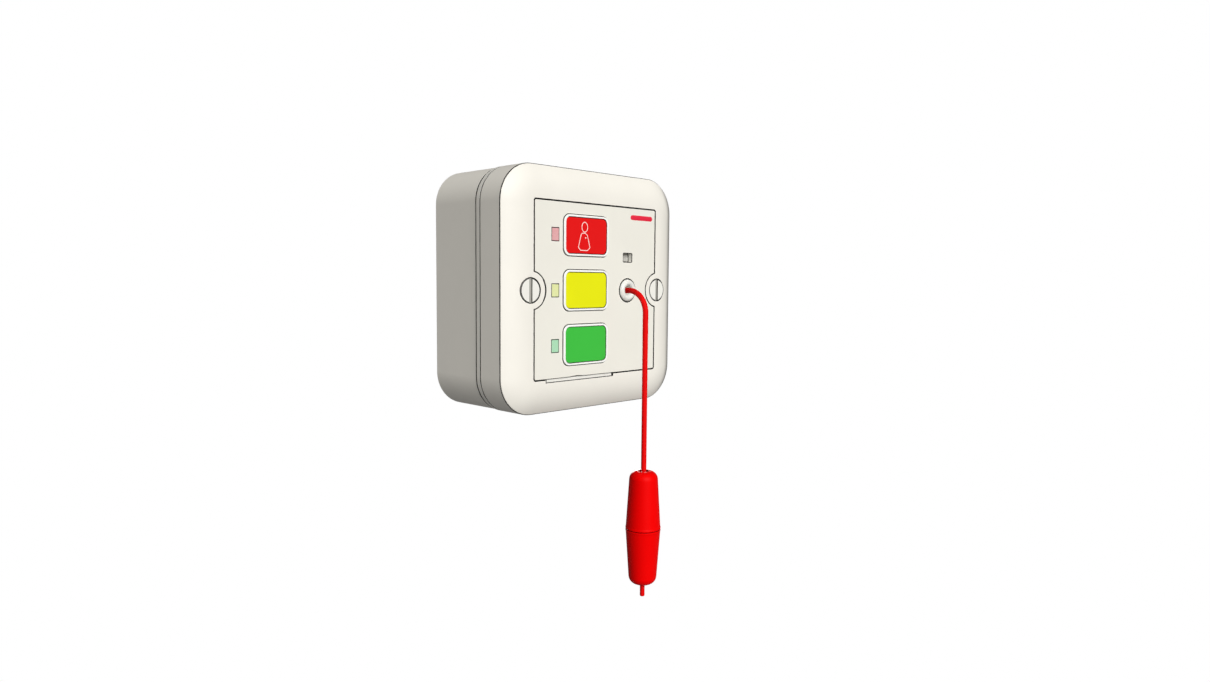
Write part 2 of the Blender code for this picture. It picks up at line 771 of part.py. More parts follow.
def paint(obj):
    """Gives the object its own material, from the longest matching name."""
    key = max((k for k in LOOKS if obj.name.startswith(k)), key=len)
    colour, roughness, metallic = LOOKS[key]
    look = bpy.data.materials.new(obj.name + "_look")
    look.use_nodes = True
    inputs = look.node_tree.nodes["Principled BSDF"].inputs
    inputs["Base Color"].default_value = (*colour, 1.0)
    inputs["Roughness"].default_value = roughness
    inputs["Metallic"].default_value = metallic
    look.diffuse_color = (*colour, 1.0)
    obj.data.materials.clear()
    obj.data.materials.append(look)


def tidy(obj):
    """Drops the doubled points and the slivers that Booleans leave."""
    work = bmesh.new()
    work.from_mesh(obj.data)
    bmesh.ops.remove_doubles(work, verts=work.verts, dist=2e-6)
    bmesh.ops.dissolve_degenerate(work, edges=work.edges, dist=1e-6)
    bmesh.ops.recalc_face_normals(work, faces=work.faces)
    work.to_mesh(obj.data)
    work.free()
    obj.data.shade_smooth()
    obj.data.set_sharp_from_angle(angle=math.radians(32))


build_back_box()
build_cable_grommet()
build_mounting_frame()
build_screws()
build_front_frame()
build_release_tab()
build_front_plate()
build_port_insert()
build_circuit_board()
build_control_chip()
build_terminal_block()
build_rows()
build_microswitch()
build_switch_lever()
build_pull_guide()
build_puller()
build_puller_spring()
build_cord_bushing()
build_cord_inner()
build_cord_bend()
build_cord_upper()
build_cord_lower()
build_handle_upper()
build_handle_lower()
for piece in list(bpy.context.scene.objects):
    paint(piece)
    tidy(piece)
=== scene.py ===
"""Surface-mounted call switch with a pull cord, dressed over its CAD pieces.

The back lies on the wall plane y = 0 and the face looks towards -Y; X runs across, Z is up.
The cord leaves the face through a bushing, bends and hangs down -Z to a two-part handle.
Sizes are in mm; meshes are written in metres.
"""

import json
import math

import bmesh
import bpy
import numpy as np
from mathutils import Matrix, Vector
from mathutils.geometry import delaunay_2d_cdt

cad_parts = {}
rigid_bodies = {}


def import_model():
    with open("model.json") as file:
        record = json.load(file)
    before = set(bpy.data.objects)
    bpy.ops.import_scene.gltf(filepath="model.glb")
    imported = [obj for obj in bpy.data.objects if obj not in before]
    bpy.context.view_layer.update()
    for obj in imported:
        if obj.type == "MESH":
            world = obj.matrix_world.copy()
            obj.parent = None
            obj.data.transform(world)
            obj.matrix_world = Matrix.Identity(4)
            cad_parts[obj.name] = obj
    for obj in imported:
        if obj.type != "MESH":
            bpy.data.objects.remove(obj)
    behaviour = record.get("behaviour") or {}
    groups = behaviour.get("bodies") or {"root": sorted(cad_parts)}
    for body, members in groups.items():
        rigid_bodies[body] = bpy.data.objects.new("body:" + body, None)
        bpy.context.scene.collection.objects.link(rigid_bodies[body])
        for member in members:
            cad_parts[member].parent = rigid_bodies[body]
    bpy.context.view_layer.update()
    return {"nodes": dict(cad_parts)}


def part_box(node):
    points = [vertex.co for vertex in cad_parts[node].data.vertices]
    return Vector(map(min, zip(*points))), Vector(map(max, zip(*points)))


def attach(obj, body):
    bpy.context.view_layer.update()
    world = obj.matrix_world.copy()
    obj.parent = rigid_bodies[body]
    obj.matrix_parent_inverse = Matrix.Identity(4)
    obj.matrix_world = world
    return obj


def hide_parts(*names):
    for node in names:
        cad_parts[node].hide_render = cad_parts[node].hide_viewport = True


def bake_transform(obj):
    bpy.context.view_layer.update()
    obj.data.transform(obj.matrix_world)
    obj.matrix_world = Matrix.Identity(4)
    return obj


for old in list(bpy.data.objects):
    bpy.data.objects.remove(old, do_unlink=True)

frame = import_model()
NODES = frame["nodes"]
MM = 0.001


def box(name):
    """A node's lowest and highest corner."""
    low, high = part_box(name)
    return np.array(low) * 1000, np.array(high) * 1000


def middle(name):
    low, high = box(name)
    return (low + high) / 2


def metres(x, y, z):
    return (x * MM, y * MM, z * MM)


# =============================================================================
# shared sizes
# =============================================================================
ring_low, ring_high = box("mounting_frame")
frame_low, frame_high = box("front_frame")
box_low, box_high = box("back_box")
plate_low, plate_high = box("front_plate")

RING_SIDE = ring_high[0] - ring_low[0]
FRAME_SIDE = frame_high[0] - frame_low[0]
BOX_SIDE = box_high[0] - box_low[0]
FACE_Y, FRAME_BACK = frame_low[1], frame_high[1]
PLATE_FACE, PLATE_BACK = plate_low[1], plate_high[1]

# the frame's domed border
CREASE_Y = FACE_Y + 2.9
DOME_WIDTH, DOME_POWER = 11.1, 2.6
CORNER_R, CORNER_R_INNER, CORNER_R_LEAST = 12.5, 0.9, 0.6
CORNER_STEPS, SIDE_STEPS = 26, 14

# cover screws and the round outlines about them
SCREW_X = 30.0
HEAD_R, BORE_R = 3.93, 4.17
NOTCH_R, EAR_R = 6.36, 5.96  # bites in the plate's and the window's sides

PLATE_HALF_W = (plate_high[0] - plate_low[0]) / 2
PLATE_HALF_H = (plate_high[2] - plate_low[2]) / 2 - 0.08
WINDOW_GAP = 0.43

BUTTONS = {"top": "red", "middle": "yellow", "bottom": "green"}
BUTTON_SHIFT = 0.25  # buttons sit this far towards -X of their CAD nodes

# outlines as width, height, corner radius
BUTTON_HOLE = (21.04, 13.96, 2.75)
CAP_OUTLINE = (20.5, 13.42, 2.55)
CAP_FLANGE = (22.6, 15.6, 3.2)
CAP_RECESS = (18.95, 12.15, 1.9)

# cord: straight out of the bushing, a quarter bend, then hanging
CORD_R, BRAID_R = 1.0, 0.95
BEND_R = 7.7
CORD_START = -34.95
CORD_Z = box("cord_bend")[1][2] - CORD_R
CORD_END = box("cord_lower")[0][2] + 0.45
HINGE_X, HINGE_Y, _ = middle("cord_upper")
# the cord hangs a hair to -X of the bushing's middle, and nearer to the wall
CORD_X, HANG_Y = HINGE_X - 0.12, HINGE_Y + 0.12
CORD_STRAIGHT = CORD_START - (HANG_Y + BEND_R)
CORD_ARC = BEND_R * math.pi / 2


# =============================================================================
# mesh building
# =============================================================================
def inside(points, loop):
    """Which of the points lie inside the loop."""
    points, loop = np.asarray(points, float), np.asarray(loop, float)
    x, z = points[:, 0], points[:, 1]
    result = np.zeros(len(points), bool)
    for (x0, z0), (x1, z1) in zip(loop, np.roll(loop, -1, axis=0)):
        if z0 == z1:
            continue
        crosses = (z0 > z) != (z1 > z)
        result ^= crosses & (x < (x1 - x0) * (z - z0) / (z1 - z0) + x0)
    return result


def height_of(y):
    """A height as a function of (x, z), from a number or such a function."""
    return y if callable(y) else lambda x, z: y


class Build:
    """Collects points and faces; coincident points are welded at the end."""

    WELD = 2e-4

    def __init__(self):
        self.points, self.faces, self.slots = [], [], []

    def add(self, points, faces, slot=0):
        base = len(self.points)
        self.points += [tuple(map(float, point)) for point in points]
        self.faces += [tuple(base + i for i in face) for face in faces]
        self.slots += [slot] * len(faces)

    def cap(self, ring, slot=0):
        """One face over a closed ring."""
        self.add(ring, [tuple(range(len(ring)))], slot)

    def strip(self, first, second, slot=0):
        """Quads between two closed rings of equal length."""
        n = len(first)
        assert n == len(second), (n, len(second))
        quads = [(i, (i + 1) % n, n + (i + 1) % n, n + i) for i in range(n)]
        self.add(list(first) + list(second), quads, slot)

    def chain(self, rings, slot=0, closed=False):
        """Strips from ring to ring; slot is one number, or a list with one for each strip."""
        slots = [slot] * len(rings) if isinstance(slot, int) else slot
        for i in range(len(rings) if closed else len(rings) - 1):
            self.strip(rings[i], rings[(i + 1) % len(rings)], slots[i])

    def loft(self, rings):
        """A chain closed by a face at both ends."""
        self.chain(rings)
        self.cap(rings[0])
        self.cap(rings[-1])

    def wall(self, loop, y_start, y_end, slot=0):
        self.strip(lift(loop, y_start), lift(loop, y_end), slot)

    def region(self, outer, holes, y, extra=(), slot=0):
        """Triangulated area between an outer contour and holes, lifted to y."""
        height = height_of(y)
        points, edges = [], []
        for loop in [outer] + list(holes):
            base = len(points)
            points += [Vector((float(x), float(z))) for x, z in loop]
            edges += [(base + i, base + (i + 1) % len(loop)) for i in range(len(loop))]
        points += [Vector((float(x), float(z))) for x, z in extra]
        vertices, _, faces, *_ = delaunay_2d_cdt(points, edges, [], 0, 1e-6)
        spots = np.array([(point.x, point.y) for point in vertices])
        triangles = np.array([face for face in faces if len(face) == 3])
        centres = spots[triangles].mean(axis=1)
        keep = inside(centres, outer)
        for loop in holes:
            keep &= ~inside(centres, loop)
        self.add(
            [(x, height(x, z), z) for x, z in spots],
            [tuple(triangle) for triangle in triangles[keep]],
            slot,
        )

    def make(self, name, smooth=35.0, weighted=True):
        """One object, normals out, smooth with sharp edges above the angle."""
        points = np.array(self.points)
        key = np.round(points / self.WELD).astype(np.int64)
        _, first, index = np.unique(key, axis=0, return_index=True, return_inverse=True)
        index = index.reshape(-1)
        faces, slots = [], []
        for face, slot in zip(self.faces, self.slots):
            welded = [int(index[i]) for i in face]
            welded = [p for i, p in enumerate(welded) if p != welded[i - 1]]
            if len(set(welded)) == len(welded) and len(welded) > 2:
                faces.append(welded)
                slots.append(slot)
        mesh = bpy.data.meshes.new(name)
        mesh.from_pydata([tuple(point) for point in points[first] * MM], [], faces)
        for polygon, slot in zip(mesh.polygons, slots):
            polygon.material_index = slot

        work = bmesh.new()
        work.from_mesh(mesh)
        loose = [vertex for vertex in work.verts if not vertex.link_faces]
        bmesh.ops.delete(work, geom=loose, context="VERTS")
        bmesh.ops.recalc_face_normals(work, faces=work.faces)
        work.to_mesh(mesh)
        work.free()
        mesh.shade_smooth()
        mesh.set_sharp_from_angle(angle=math.radians(smooth))
        obj = bpy.data.objects.new(name, mesh)
        bpy.context.scene.collection.objects.link(obj)
        if weighted:
            modifier = obj.modifiers.new("even_normals", "WEIGHTED_NORMAL")
            modifier.keep_sharp = True
            modifier.weight = 60
        return obj


# =============================================================================
# outlines: loops of (x, z), anticlockwise as plotted with x right and z up
# =============================================================================
def rounded(width, height, radius, x=0.0, z=0.0, steps=20, along=1):
    """Rounded rectangle about (x, z): steps per corner, along pieces per straight."""
    signs = ((1, 1), (-1, 1), (-1, -1), (1, -1))

    def on_corner(corner, turned):
        sign_x, sign_z = signs[corner]
        middle_x = x + sign_x * (width / 2 - radius)
        middle_z = z + sign_z * (height / 2 - radius)
        angle = math.radians(90 * corner + turned)
        return middle_x + radius * math.cos(angle), middle_z + radius * math.sin(angle)

    loop = []
    for corner in range(4):
        loop += [on_corner(corner, 90 * i / steps) for i in range(steps + 1)]
        begin, end = loop[-1], on_corner((corner + 1) % 4, 0)
        for k in range(1, along):
            loop.append(tuple(p + (q - p) * k / along for p, q in zip(begin, end)))
    return loop


def circle(x, z, radius, steps=40):
    angles = [2 * math.pi * i / steps for i in range(steps)]
    return [(x + radius * math.cos(angle), z + radius * math.sin(angle)) for angle in angles]


def hole(loop):
    """The loop run clockwise, so that the material round it is on the left."""
    return loop[::-1]


def thin(loop, least=1e-3):
    """Drops points that repeat."""
    kept = []
    for point in loop:
        if not kept or math.dist(point, kept[-1]) > least:
            kept.append(point)
    while math.dist(kept[0], kept[-1]) <= least:
        kept.pop()
    return kept


def shift(loop, distance):
    """The loop moved to the left of its travel, corners mitred."""
    points = np.asarray(loop, float)
    before, after = points - np.roll(points, 1, axis=0), np.roll(points, -1, axis=0) - points
    normals = []
    for step in (before, after):
        step /= np.linalg.norm(step, axis=1)[:, None]
        normals.append(np.stack([-step[:, 1], step[:, 0]], 1))
    first, second = normals
    mitre = np.maximum(1 + (first * second).sum(1), 0.35)[:, None]
    return [tuple(point) for point in points + (first + second) / mitre * distance]


def lift(loop, y):
    """2-D loop to 3-D, with y a number or a function of (x, z)."""
    height = height_of(y)
    return [(x, height(x, z), z) for x, z in loop]


def flat(ring):
    return [(x, z) for x, _, z in ring]


def edge_rings(loop, top, radius, steps):
    """Rings of a rounded edge, from the face out to the wall. The material is on the left."""
    height = height_of(top)
    rings = []
    for i in range(steps + 1):
        angle = math.pi / 2 * i / steps
        moved = shift(loop, radius * (1 - math.sin(angle)))
        drop = radius * (1 - math.cos(angle))
        rings.append([(x, height(x, z) + drop, z) for x, z in moved])
    return rings


def lathe(profile, x, z, steps=96):
    """Rings of a (radius, y) profile turned round an axis along Y."""
    rings = []
    for radius, y in profile:
        angles = [2 * math.pi * i / steps for i in range(steps)]
        rings.append([(x + radius * math.cos(a), y, z + radius * math.sin(a)) for a in angles])
    return rings


def rounded_path(rows, steps, share=0.49):
    """Profile through rows of (first, second, corner radius), with its corners rounded.

    A corner takes at most the given share of either neighbouring length.
    """
    path = []
    for i, (first, second, radius) in enumerate(rows):
        if radius <= 0 or i in (0, len(rows) - 1):
            path.append((first, second))
            continue
        previous, corner, following = (np.array(rows[j][:2], float) for j in (i - 1, i, i + 1))
        back, ahead = previous - corner, following - corner
        back_length, ahead_length = np.linalg.norm(back), np.linalg.norm(ahead)
        back, ahead = back / back_length, ahead / ahead_length
        half = math.acos(max(-1, min(1, float(back @ ahead)))) / 2
        cut = min(radius / math.tan(half), back_length * share, ahead_length * share)
        bend = cut * math.tan(half)
        start, end = corner + back * cut, corner + ahead * cut
        bisector = (back + ahead) / np.linalg.norm(back + ahead)
        centre = corner + bisector * bend / math.sin(half)
        arm, last_arm = start - centre, end - centre
        total = math.acos(max(-1, min(1, float(arm @ last_arm) / bend**2)))
        for k in range(steps + 1):
            part = k / steps
            point = math.sin((1 - part) * total) * arm + math.sin(part * total) * last_arm
            path.append(tuple(centre + point / math.sin(total)))
    return path


def span_slots(profile, slot_of):
    """Material slot of each span of a profile, from its two ends; the last span closes it."""
    return [slot_of(*start, *end) for start, end in zip(profile, profile[1:] + profile[:1])]


# =============================================================================
# shader building
# =============================================================================
def linear(*rgb):
    """sRGB 0..255 to linear."""
    shares = [value / 255 for value in rgb]
    return tuple(c / 12.92 if c <= 0.04045 else ((c + 0.055) / 1.055) ** 2.4 for c in shares)


def scaled(colour, factor):
    return tuple(c * factor for c in colour)


def feed(tree, node, inputs):
    """Links or sets a node's inputs; a colour may leave out its alpha."""
    for key, value in inputs.items():
        socket = node.inputs[key]
        if isinstance(value, bpy.types.NodeSocket):
            tree.links.new(value, socket)
        elif socket.type == "RGBA":
            socket.default_value = (*value, 1)
        else:
            socket.default_value = value


def add_node(tree, kind, inputs=None, **settings):
    node = tree.nodes.new("ShaderNode" + kind)
    for key, value in settings.items():
        setattr(node, key, value)
    feed(tree, node, inputs or {})
    return node


class Look:
    """A Principled material and the nodes that feed it."""

    def __init__(self, name, colour, rough, metallic=0.0):
        self.material = bpy.data.materials.new(name)
        self.material.use_nodes = True
        self.tree = self.material.node_tree
        self.shader = self.tree.nodes["Principled BSDF"]
        self.set({"Base Color": colour, "Roughness": rough, "Metallic": metallic})
        self.material.diffuse_color = (*colour, 1)

    def set(self, inputs):
        feed(self.tree, self.shader, inputs)

    def node(self, kind, inputs=None, **settings):
        return add_node(self.tree, kind, inputs, **settings)

    def position(self):
        """Object coordinates, in metres."""
        return self.node("TexCoord").outputs["Object"]

    def stretched(self, vector, **inputs):
        inputs = {key.title(): value for key, value in inputs.items()}
        return self.node("Mapping", {"Vector": vector, **inputs}).outputs[0]

    def noise(self, vector, scale, detail=4.0, rough=0.55, distortion=0.0):
        inputs = {
            "Vector": vector,
            "Scale": scale,
            "Detail": detail,
            "Roughness": rough,
            "Distortion": distortion,
        }
        return self.node("TexNoise", inputs).outputs["Fac"]

    def remap(self, value, span=(0.3, 0.7), to=(0.0, 1.0)):
        """Carries the span onto another, held at its ends."""
        inputs = dict(zip(("From Min", "From Max", "To Min", "To Max"), (*span, *to)))
        inputs["Value"] = value
        return self.node("MapRange", inputs, clamp=True).outputs["Result"]

    def maths(self, operation, first, second, clamp=False):
        inputs = {0: first, 1: second}
        return self.node("Math", inputs, operation=operation, use_clamp=clamp).outputs[0]

    def times(self, first, second):
        return self.maths("MULTIPLY", first, second)

    def mix(self, factor, first, second):
        inputs = {"Factor": factor, 6: first, 7: second}
        return self.node("Mix", inputs, data_type="RGBA").outputs[2]

    def bump(self, height, strength, distance, before=None):
        inputs = {"Strength": strength, "Distance": distance, "Height": height}
        if before is not None:
            inputs["Normal"] = before
        return self.node("Bump", inputs).outputs["Normal"]

    def dot(self, first, second):
        node = self.node("VectorMath", {0: first, 1: second}, operation="DOT_PRODUCT")
        return node.outputs["Value"]

    def split(self, vector, axis):
        return self.node("SeparateXYZ", {0: vector}).outputs[axis]

    def base(self):
        """What feeds the base colour now."""
        return self.shader.inputs["Base Color"].links[0].from_socket

    def edge_mask(self, radius):
        """1 on convex and concave edges within the radius, 0 on flat faces."""
        bevel = self.node("Bevel", {"Radius": radius}, samples=6)
        geometry = self.node("NewGeometry")
        across = self.dot(bevel.outputs["Normal"], geometry.outputs["Normal"])
        return self.remap(across, span=(0.995, 0.80))


# =============================================================================
# kinds of material
# =============================================================================
BLACK = (0.0, 0.0, 0.0)
# near-black painted shade for narrow joints, creases and hollows
GAP = (0.015, 0.014, 0.012)


def moulded(
    name,
    colour,
    rough,
    grain=0.5,  # depth of the surface grain
    mottling=0.008,  # share of tone drift
    edge=0.25,  # how far rubbed edges take the edge colour
    edge_colour=None,
    dust=0.25,
    soft=0.0,  # light let through below the surface
    gloss=0.5,
):
    """Injection-moulded plastic: grain, tone drift, rubbed edges, faint dust and fine scuffs."""
    look = Look(name, colour, rough)
    at = look.position()
    fine = look.noise(at, scale=5200.0, detail=3, rough=0.6)
    coarse = look.noise(at, scale=1040.0, detail=3, rough=0.5)
    cloud = look.noise(at, scale=70, detail=5, rough=0.6, distortion=0.4)
    patch = look.noise(at, scale=260, detail=6, rough=0.62, distortion=0.8)
    dark = scaled(colour, 1 - mottling * 2.2)
    light = tuple(min(1.0, c * (1 + mottling * 0.9)) for c in colour)
    base = look.mix(look.remap(cloud), dark, light)

    # sparse dust specks
    cell = look.node("TexVoronoi", {"Scale": 900, "Vector": at}, feature="F1")
    speck = look.times(
        look.remap(cell.outputs["Distance"], span=(0.10, 0.05)),
        look.remap(patch, span=(0.60, 0.72)),
    )
    base = look.mix(look.times(speck, dust), base, scaled(colour, 0.72))

    rubbed = look.edge_mask(radius=0.00035)
    worn = look.times(rubbed, look.remap(patch, span=(0.42, 0.60), to=(0.35, 1.0)))
    tip = edge_colour or tuple(min(1.0, c * 1.12 + 0.02) for c in colour)
    base = look.mix(look.times(worn, edge), base, tip)

    # roughness: slow drift, hairline scuffs, smoother rubbed edges
    slanted = look.stretched(at, scale=(1.0, 1.0, 7.0), rotation=(0.4, 0.9, 0.2))
    hairlines = look.noise(slanted, scale=700, detail=8, rough=0.7, distortion=0.2)
    scuff = look.remap(hairlines, span=(0.62, 0.70))
    value = look.remap(patch, to=(rough - 0.05, rough + 0.05))
    value = look.maths("ADD", value, look.times(scuff, 0.10))
    value = look.maths("SUBTRACT", value, look.times(worn, 0.12), clamp=True)

    normal = look.bump(coarse, strength=0.10 * grain, distance=0.00006)
    normal = look.bump(fine, strength=0.35 * grain, distance=0.00002, before=normal)
    scratches = look.times(scuff, -1.0)
    normal = look.bump(scratches, strength=0.05, distance=0.00002, before=normal)
    look.set(
        {
            "Base Color": base,
            "Roughness": value,
            "Normal": normal,
            "IOR": 1.49,
            "Specular IOR Level": gloss,
        }
    )
    if soft:
        look.set(
            {
                "Subsurface Weight": soft,
                "Subsurface Radius": (0.0012, 0.001, 0.0008),
                "Subsurface Scale": 1.0,
            }
        )
    return look


def metal(name, colour, rough=0.3):
    """Zinc-plated steel: drawn lines, tarnish patches."""
    look = Look(name, colour, rough, metallic=1.0)
    at = look.position()
    lines = look.stretched(at, scale=(1.0, 9.0, 1.0))
    drawn = look.noise(lines, scale=2600, detail=5, rough=0.6)
    patch = look.noise(at, scale=420, detail=5, rough=0.6, distortion=0.6)
    tarnish = tuple(c * k for c, k in zip(colour, (0.72, 0.69, 0.62)))
    base = look.mix(look.remap(patch, span=(0.45, 0.7), to=(0, 0.6)), colour, tarnish)
    look.set(
        {
            "Base Color": base,
            "Roughness": look.remap(drawn, to=(rough - 0.08, rough + 0.12)),
            "Normal": look.bump(drawn, strength=0.25, distance=0.00002),
        }
    )
    return look


def lens(name, colour, deep):
    """Translucent window plastic, a little darker in its depth."""
    look = Look(name, colour, rough=0.28)
    at = look.position()
    cloud = look.noise(at, scale=500, detail=4, rough=0.6)
    grain = look.noise(at, scale=4200, detail=3)
    look.set(
        {
            "Base Color": look.mix(look.remap(cloud, to=(0.0, 0.35)), colour, deep),
            "Roughness": look.remap(cloud, to=(0.22, 0.34)),
            "Normal": look.bump(grain, strength=0.12, distance=0.00002),
            "Subsurface Weight": 0.15,
            "Subsurface Radius": (0.0008, 0.0006, 0.0005),
            "Subsurface Scale": 1.0,
            "Coat Weight": 0.3,
            "Coat Roughness": 0.1,
        }
    )
    return look


def board(name):
    """Solder mask with copper tracks under it."""
    look = Look(name, colour=(0.02, 0.17, 0.07), rough=0.4)
    at = look.position()
    cell = look.node(
        "TexVoronoi",
        {"Scale": 260, "Vector": at},
        distance="CHEBYCHEV",
        feature="DISTANCE_TO_EDGE",
    )
    track = look.remap(cell.outputs["Distance"], span=(0.06, 0.10))
    look.set(
        {
            "Base Color": look.mix(track, (0.05, 0.30, 0.12), (0.012, 0.13, 0.05)),
            "Normal": look.bump(track, strength=0.3, distance=0.00005),
            "Roughness": look.remap(look.noise(at, scale=500), to=(0.3, 0.45)),
        }
    )
    return look


def cord_cloth(name, colour):
    """Polyester cord: yarn-to-yarn tone change and a soft sheen over the braid."""
    look = Look(name, colour, rough=0.62)
    at = look.position()
    yarn = look.noise(at, scale=2600, detail=6, rough=0.65)
    cloud = look.noise(at, scale=160, detail=4, rough=0.6)
    base = look.mix(look.remap(yarn, span=(0.35, 0.65)), scaled(colour, 0.86), colour)
    drift = look.remap(cloud, span=(0.35, 0.7), to=(0, 0.25))
    base = look.mix(drift, base, scaled(colour, 0.9))
    # painted shade where it runs through the bushing, fading out beyond it
    bushing_shade = look.remap(look.split(at, "Y"), span=(-0.0462, -0.0405), to=(0.0, 0.36))
    base = look.mix(bushing_shade, base, BLACK)
    fibres = look.noise(at, scale=9000, detail=4)
    look.set(
        {
            "Base Color": base,
            "Roughness": look.remap(yarn, to=(0.55, 0.72)),
            "Normal": look.bump(fibres, strength=0.35, distance=0.00002),
            "Specular IOR Level": 0.12,
            "Sheen Weight": 0.04,
            "Sheen Roughness": 0.5,
            "Sheen Tint": colour,
        }
    )
    return look


def dark_gap(look, start, width):
    """Darkens walls behind y = start (metres), where a narrow joint holds shadow."""
    mask = look.remap(look.split(look.position(), "Y"), span=(start, start + width))
    look.set({"Base Color": look.mix(mask, look.base(), GAP)})
    return look


def turned_away(look, rim=0.0):
    """Painted shade: deepens faces turned down or to +X and, by rim, +X edges seen at a slant."""
    geometry = look.node("NewGeometry")
    lean = look.dot(geometry.outputs["Normal"], (0.72, 0.0, -0.72))
    depth = look.remap(lean, span=(0.0, 0.72), to=(0.0, 0.2))
    base = look.mix(depth, look.base(), BLACK)
    if rim:
        weight = look.node("LayerWeight", {"Blend": 0.5})
        seen = look.remap(weight.outputs["Facing"], span=(0.60, 0.84), to=(0.0, rim))
        towards_x = look.remap(look.split(geometry.outputs["Normal"], "X"), span=(0.15, 0.45))
        base = look.mix(look.times(seen, towards_x), base, (0.12, 0.118, 0.112))
    look.set({"Base Color": base})
    return look


# =============================================================================
# the materials
# =============================================================================
WHITE = linear(233, 230, 219)
SHELL = linear(236, 232, 222)
SCREW_WHITE = linear(236, 234, 226)
INLAY = dict(rough=0.34, grain=0.2, mottling=0.01, edge=0.12, gloss=0.3)
SLOT = dict(rough=0.5, grain=0.3, edge=0.0)
PRINT = dict(rough=0.5, grain=0.1, edge=0.0, dust=0.0)
SHADOW = dict(rough=0.7, dust=0.0, edge=0.0)
LENS_GAP = dict(start=-0.03796, width=0.00003)

LOOKS = {
    # box and frame shells: painted shade on faces turned down or to +X; the frame also gets a
    # painted darker rim on its +X edges
    "box": turned_away(moulded("box_shell", SHELL, rough=0.52, grain=0.6)),
    "frame": turned_away(moulded("frame_shell", SHELL, rough=0.5, grain=0.4), rim=0.85),
    "plate": dark_gap(
        moulded("plate_white", WHITE, rough=0.44), start=-0.03793, width=0.00005
    ),
    "carrier": moulded("carrier_white", linear(226, 223, 214), rough=0.45),
    "screw": moulded("screw_white", SCREW_WHITE, rough=0.34, grain=0.25),
    "cap": dark_gap(
        moulded("cap_white", linear(246, 246, 242), rough=0.34, grain=0.2),
        start=-0.03806,
        width=0.00003,
    ),
    "red": moulded("inlay_red", linear(224, 18, 18), **INLAY),
    "yellow": moulded("inlay_yellow", linear(228, 228, 12), **INLAY),
    "green": moulded("inlay_green", linear(62, 186, 64), **INLAY),
    "lens_red": dark_gap(
        lens("lens_red", linear(228, 172, 172), deep=linear(212, 146, 148)), **LENS_GAP
    ),
    "lens_yellow": dark_gap(
        lens("lens_yellow", linear(228, 232, 172), deep=linear(212, 218, 146)), **LENS_GAP
    ),
    "lens_green": dark_gap(
        lens("lens_green", linear(176, 222, 186), deep=linear(148, 206, 162)), **LENS_GAP
    ),
    "port": moulded("port_grey", linear(180, 178, 171), rough=0.4, grain=0.4),
    "port_wall": moulded("port_wall", linear(232, 230, 222), rough=0.4, grain=0.4),
    "rubber": moulded("black_rubber", (0.022, 0.022, 0.022), rough=0.75, grain=1.0, edge=0.2),
    "steel": metal("zinc_steel", (0.62, 0.62, 0.60)),
    "board": board("board_green"),
    "black": moulded("black_plastic", (0.03, 0.03, 0.03), rough=0.5, grain=0.6, edge=0.3),
    "led": lens("led_body", (0.85, 0.85, 0.80), deep=(0.75, 0.74, 0.55)),
    "terminal": moulded("terminal_green", (0.05, 0.22, 0.10), rough=0.45, grain=0.4),
    "guide": moulded("guide_grey", (0.55, 0.55, 0.52), rough=0.45, grain=0.4),
    "puller": moulded("puller_white", (0.80, 0.79, 0.75), rough=0.4, grain=0.3),
    "bushing": moulded(
        "bushing_white", linear(230, 229, 222), rough=0.32, grain=0.15, soft=0.1
    ),
    "cord": cord_cloth("cord_red", linear(232, 0, 0)),
    "screw_head": dark_gap(
        moulded("screw_head_white", SCREW_WHITE, rough=0.34, grain=0.25),
        start=-0.03778,
        width=0.00003,
    ),
    "slot_floor": moulded("slot_floor", linear(168, 166, 158), **SLOT),
    "slot_wall": moulded("slot_wall", linear(96, 94, 88), **SLOT),
    "recess": moulded("recess_dark", (0.055, 0.042, 0.030), **SHADOW),
    "gap": moulded("gap_dark", GAP, **SHADOW),
    "handle": moulded(
        "handle_red",
        linear(234, 0, 0),
        rough=0.46,
        grain=0.3,
        mottling=0.012,
        edge=0.06,
        edge_colour=linear(240, 12, 12),
        gloss=0.06,
    ),
    "handle_dark": moulded(
        "handle_bore", linear(70, 0, 0), rough=0.6, dust=0.0, edge=0.0, gloss=0.1
    ),
    "print": moulded("print_pale", linear(250, 222, 214), **PRINT),
    "mark": moulded("print_red", linear(225, 30, 60), **PRINT),
    "frame_gap": dark_gap(
        moulded("frame_gap", SHELL, rough=0.6), start=FACE_Y * MM + 0.00005, width=0.00004
    ),
}

# CAD pieces that keep their own mesh
LOOK_OF_NODE = {
    "cable_grommet": "rubber",
    "box_screw_top": "steel",
    "box_screw_bottom": "steel",
    "board_screw_left": "steel",
    "board_screw_right": "steel",
    "circuit_board": "board",
    "control_chip": "black",
    "terminal_block": "terminal",
    "microswitch": "black",
    "switch_lever": "steel",
    "pull_guide": "guide",
    "puller": "puller",
    "port_insert": "port",
}
for word in BUTTONS:
    LOOK_OF_NODE[f"tact_switch_{word}"] = "black"
    LOOK_OF_NODE[f"tact_plunger_{word}"] = "black"
    LOOK_OF_NODE[f"led_{word}"] = "led"
for node_name, look_name in LOOK_OF_NODE.items():
    NODES[node_name].data.materials.clear()
    NODES[node_name].data.materials.append(LOOKS[look_name].material)


def dress(obj, looks, slot_name, body, *nodes):
    """Materials in slot order, the body it rides on, and the CAD nodes it stands for."""
    for look in looks:
        obj.data.materials.append(LOOKS[look].material)
    if body:
        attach(obj, body)
    if nodes:
        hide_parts(*nodes)


# =============================================================================
# front frame and plate
# =============================================================================
def corner_at(inset):
    taper = inset * (CORNER_R - CORNER_R_INNER) / DOME_WIDTH
    return max(CORNER_R_LEAST, CORNER_R - taper)


def frame_ring(inset, steps=CORNER_STEPS, along=SIDE_STEPS):
    side = FRAME_SIDE - 2 * inset
    return rounded(side, side, corner_at(inset), steps=steps, along=along)


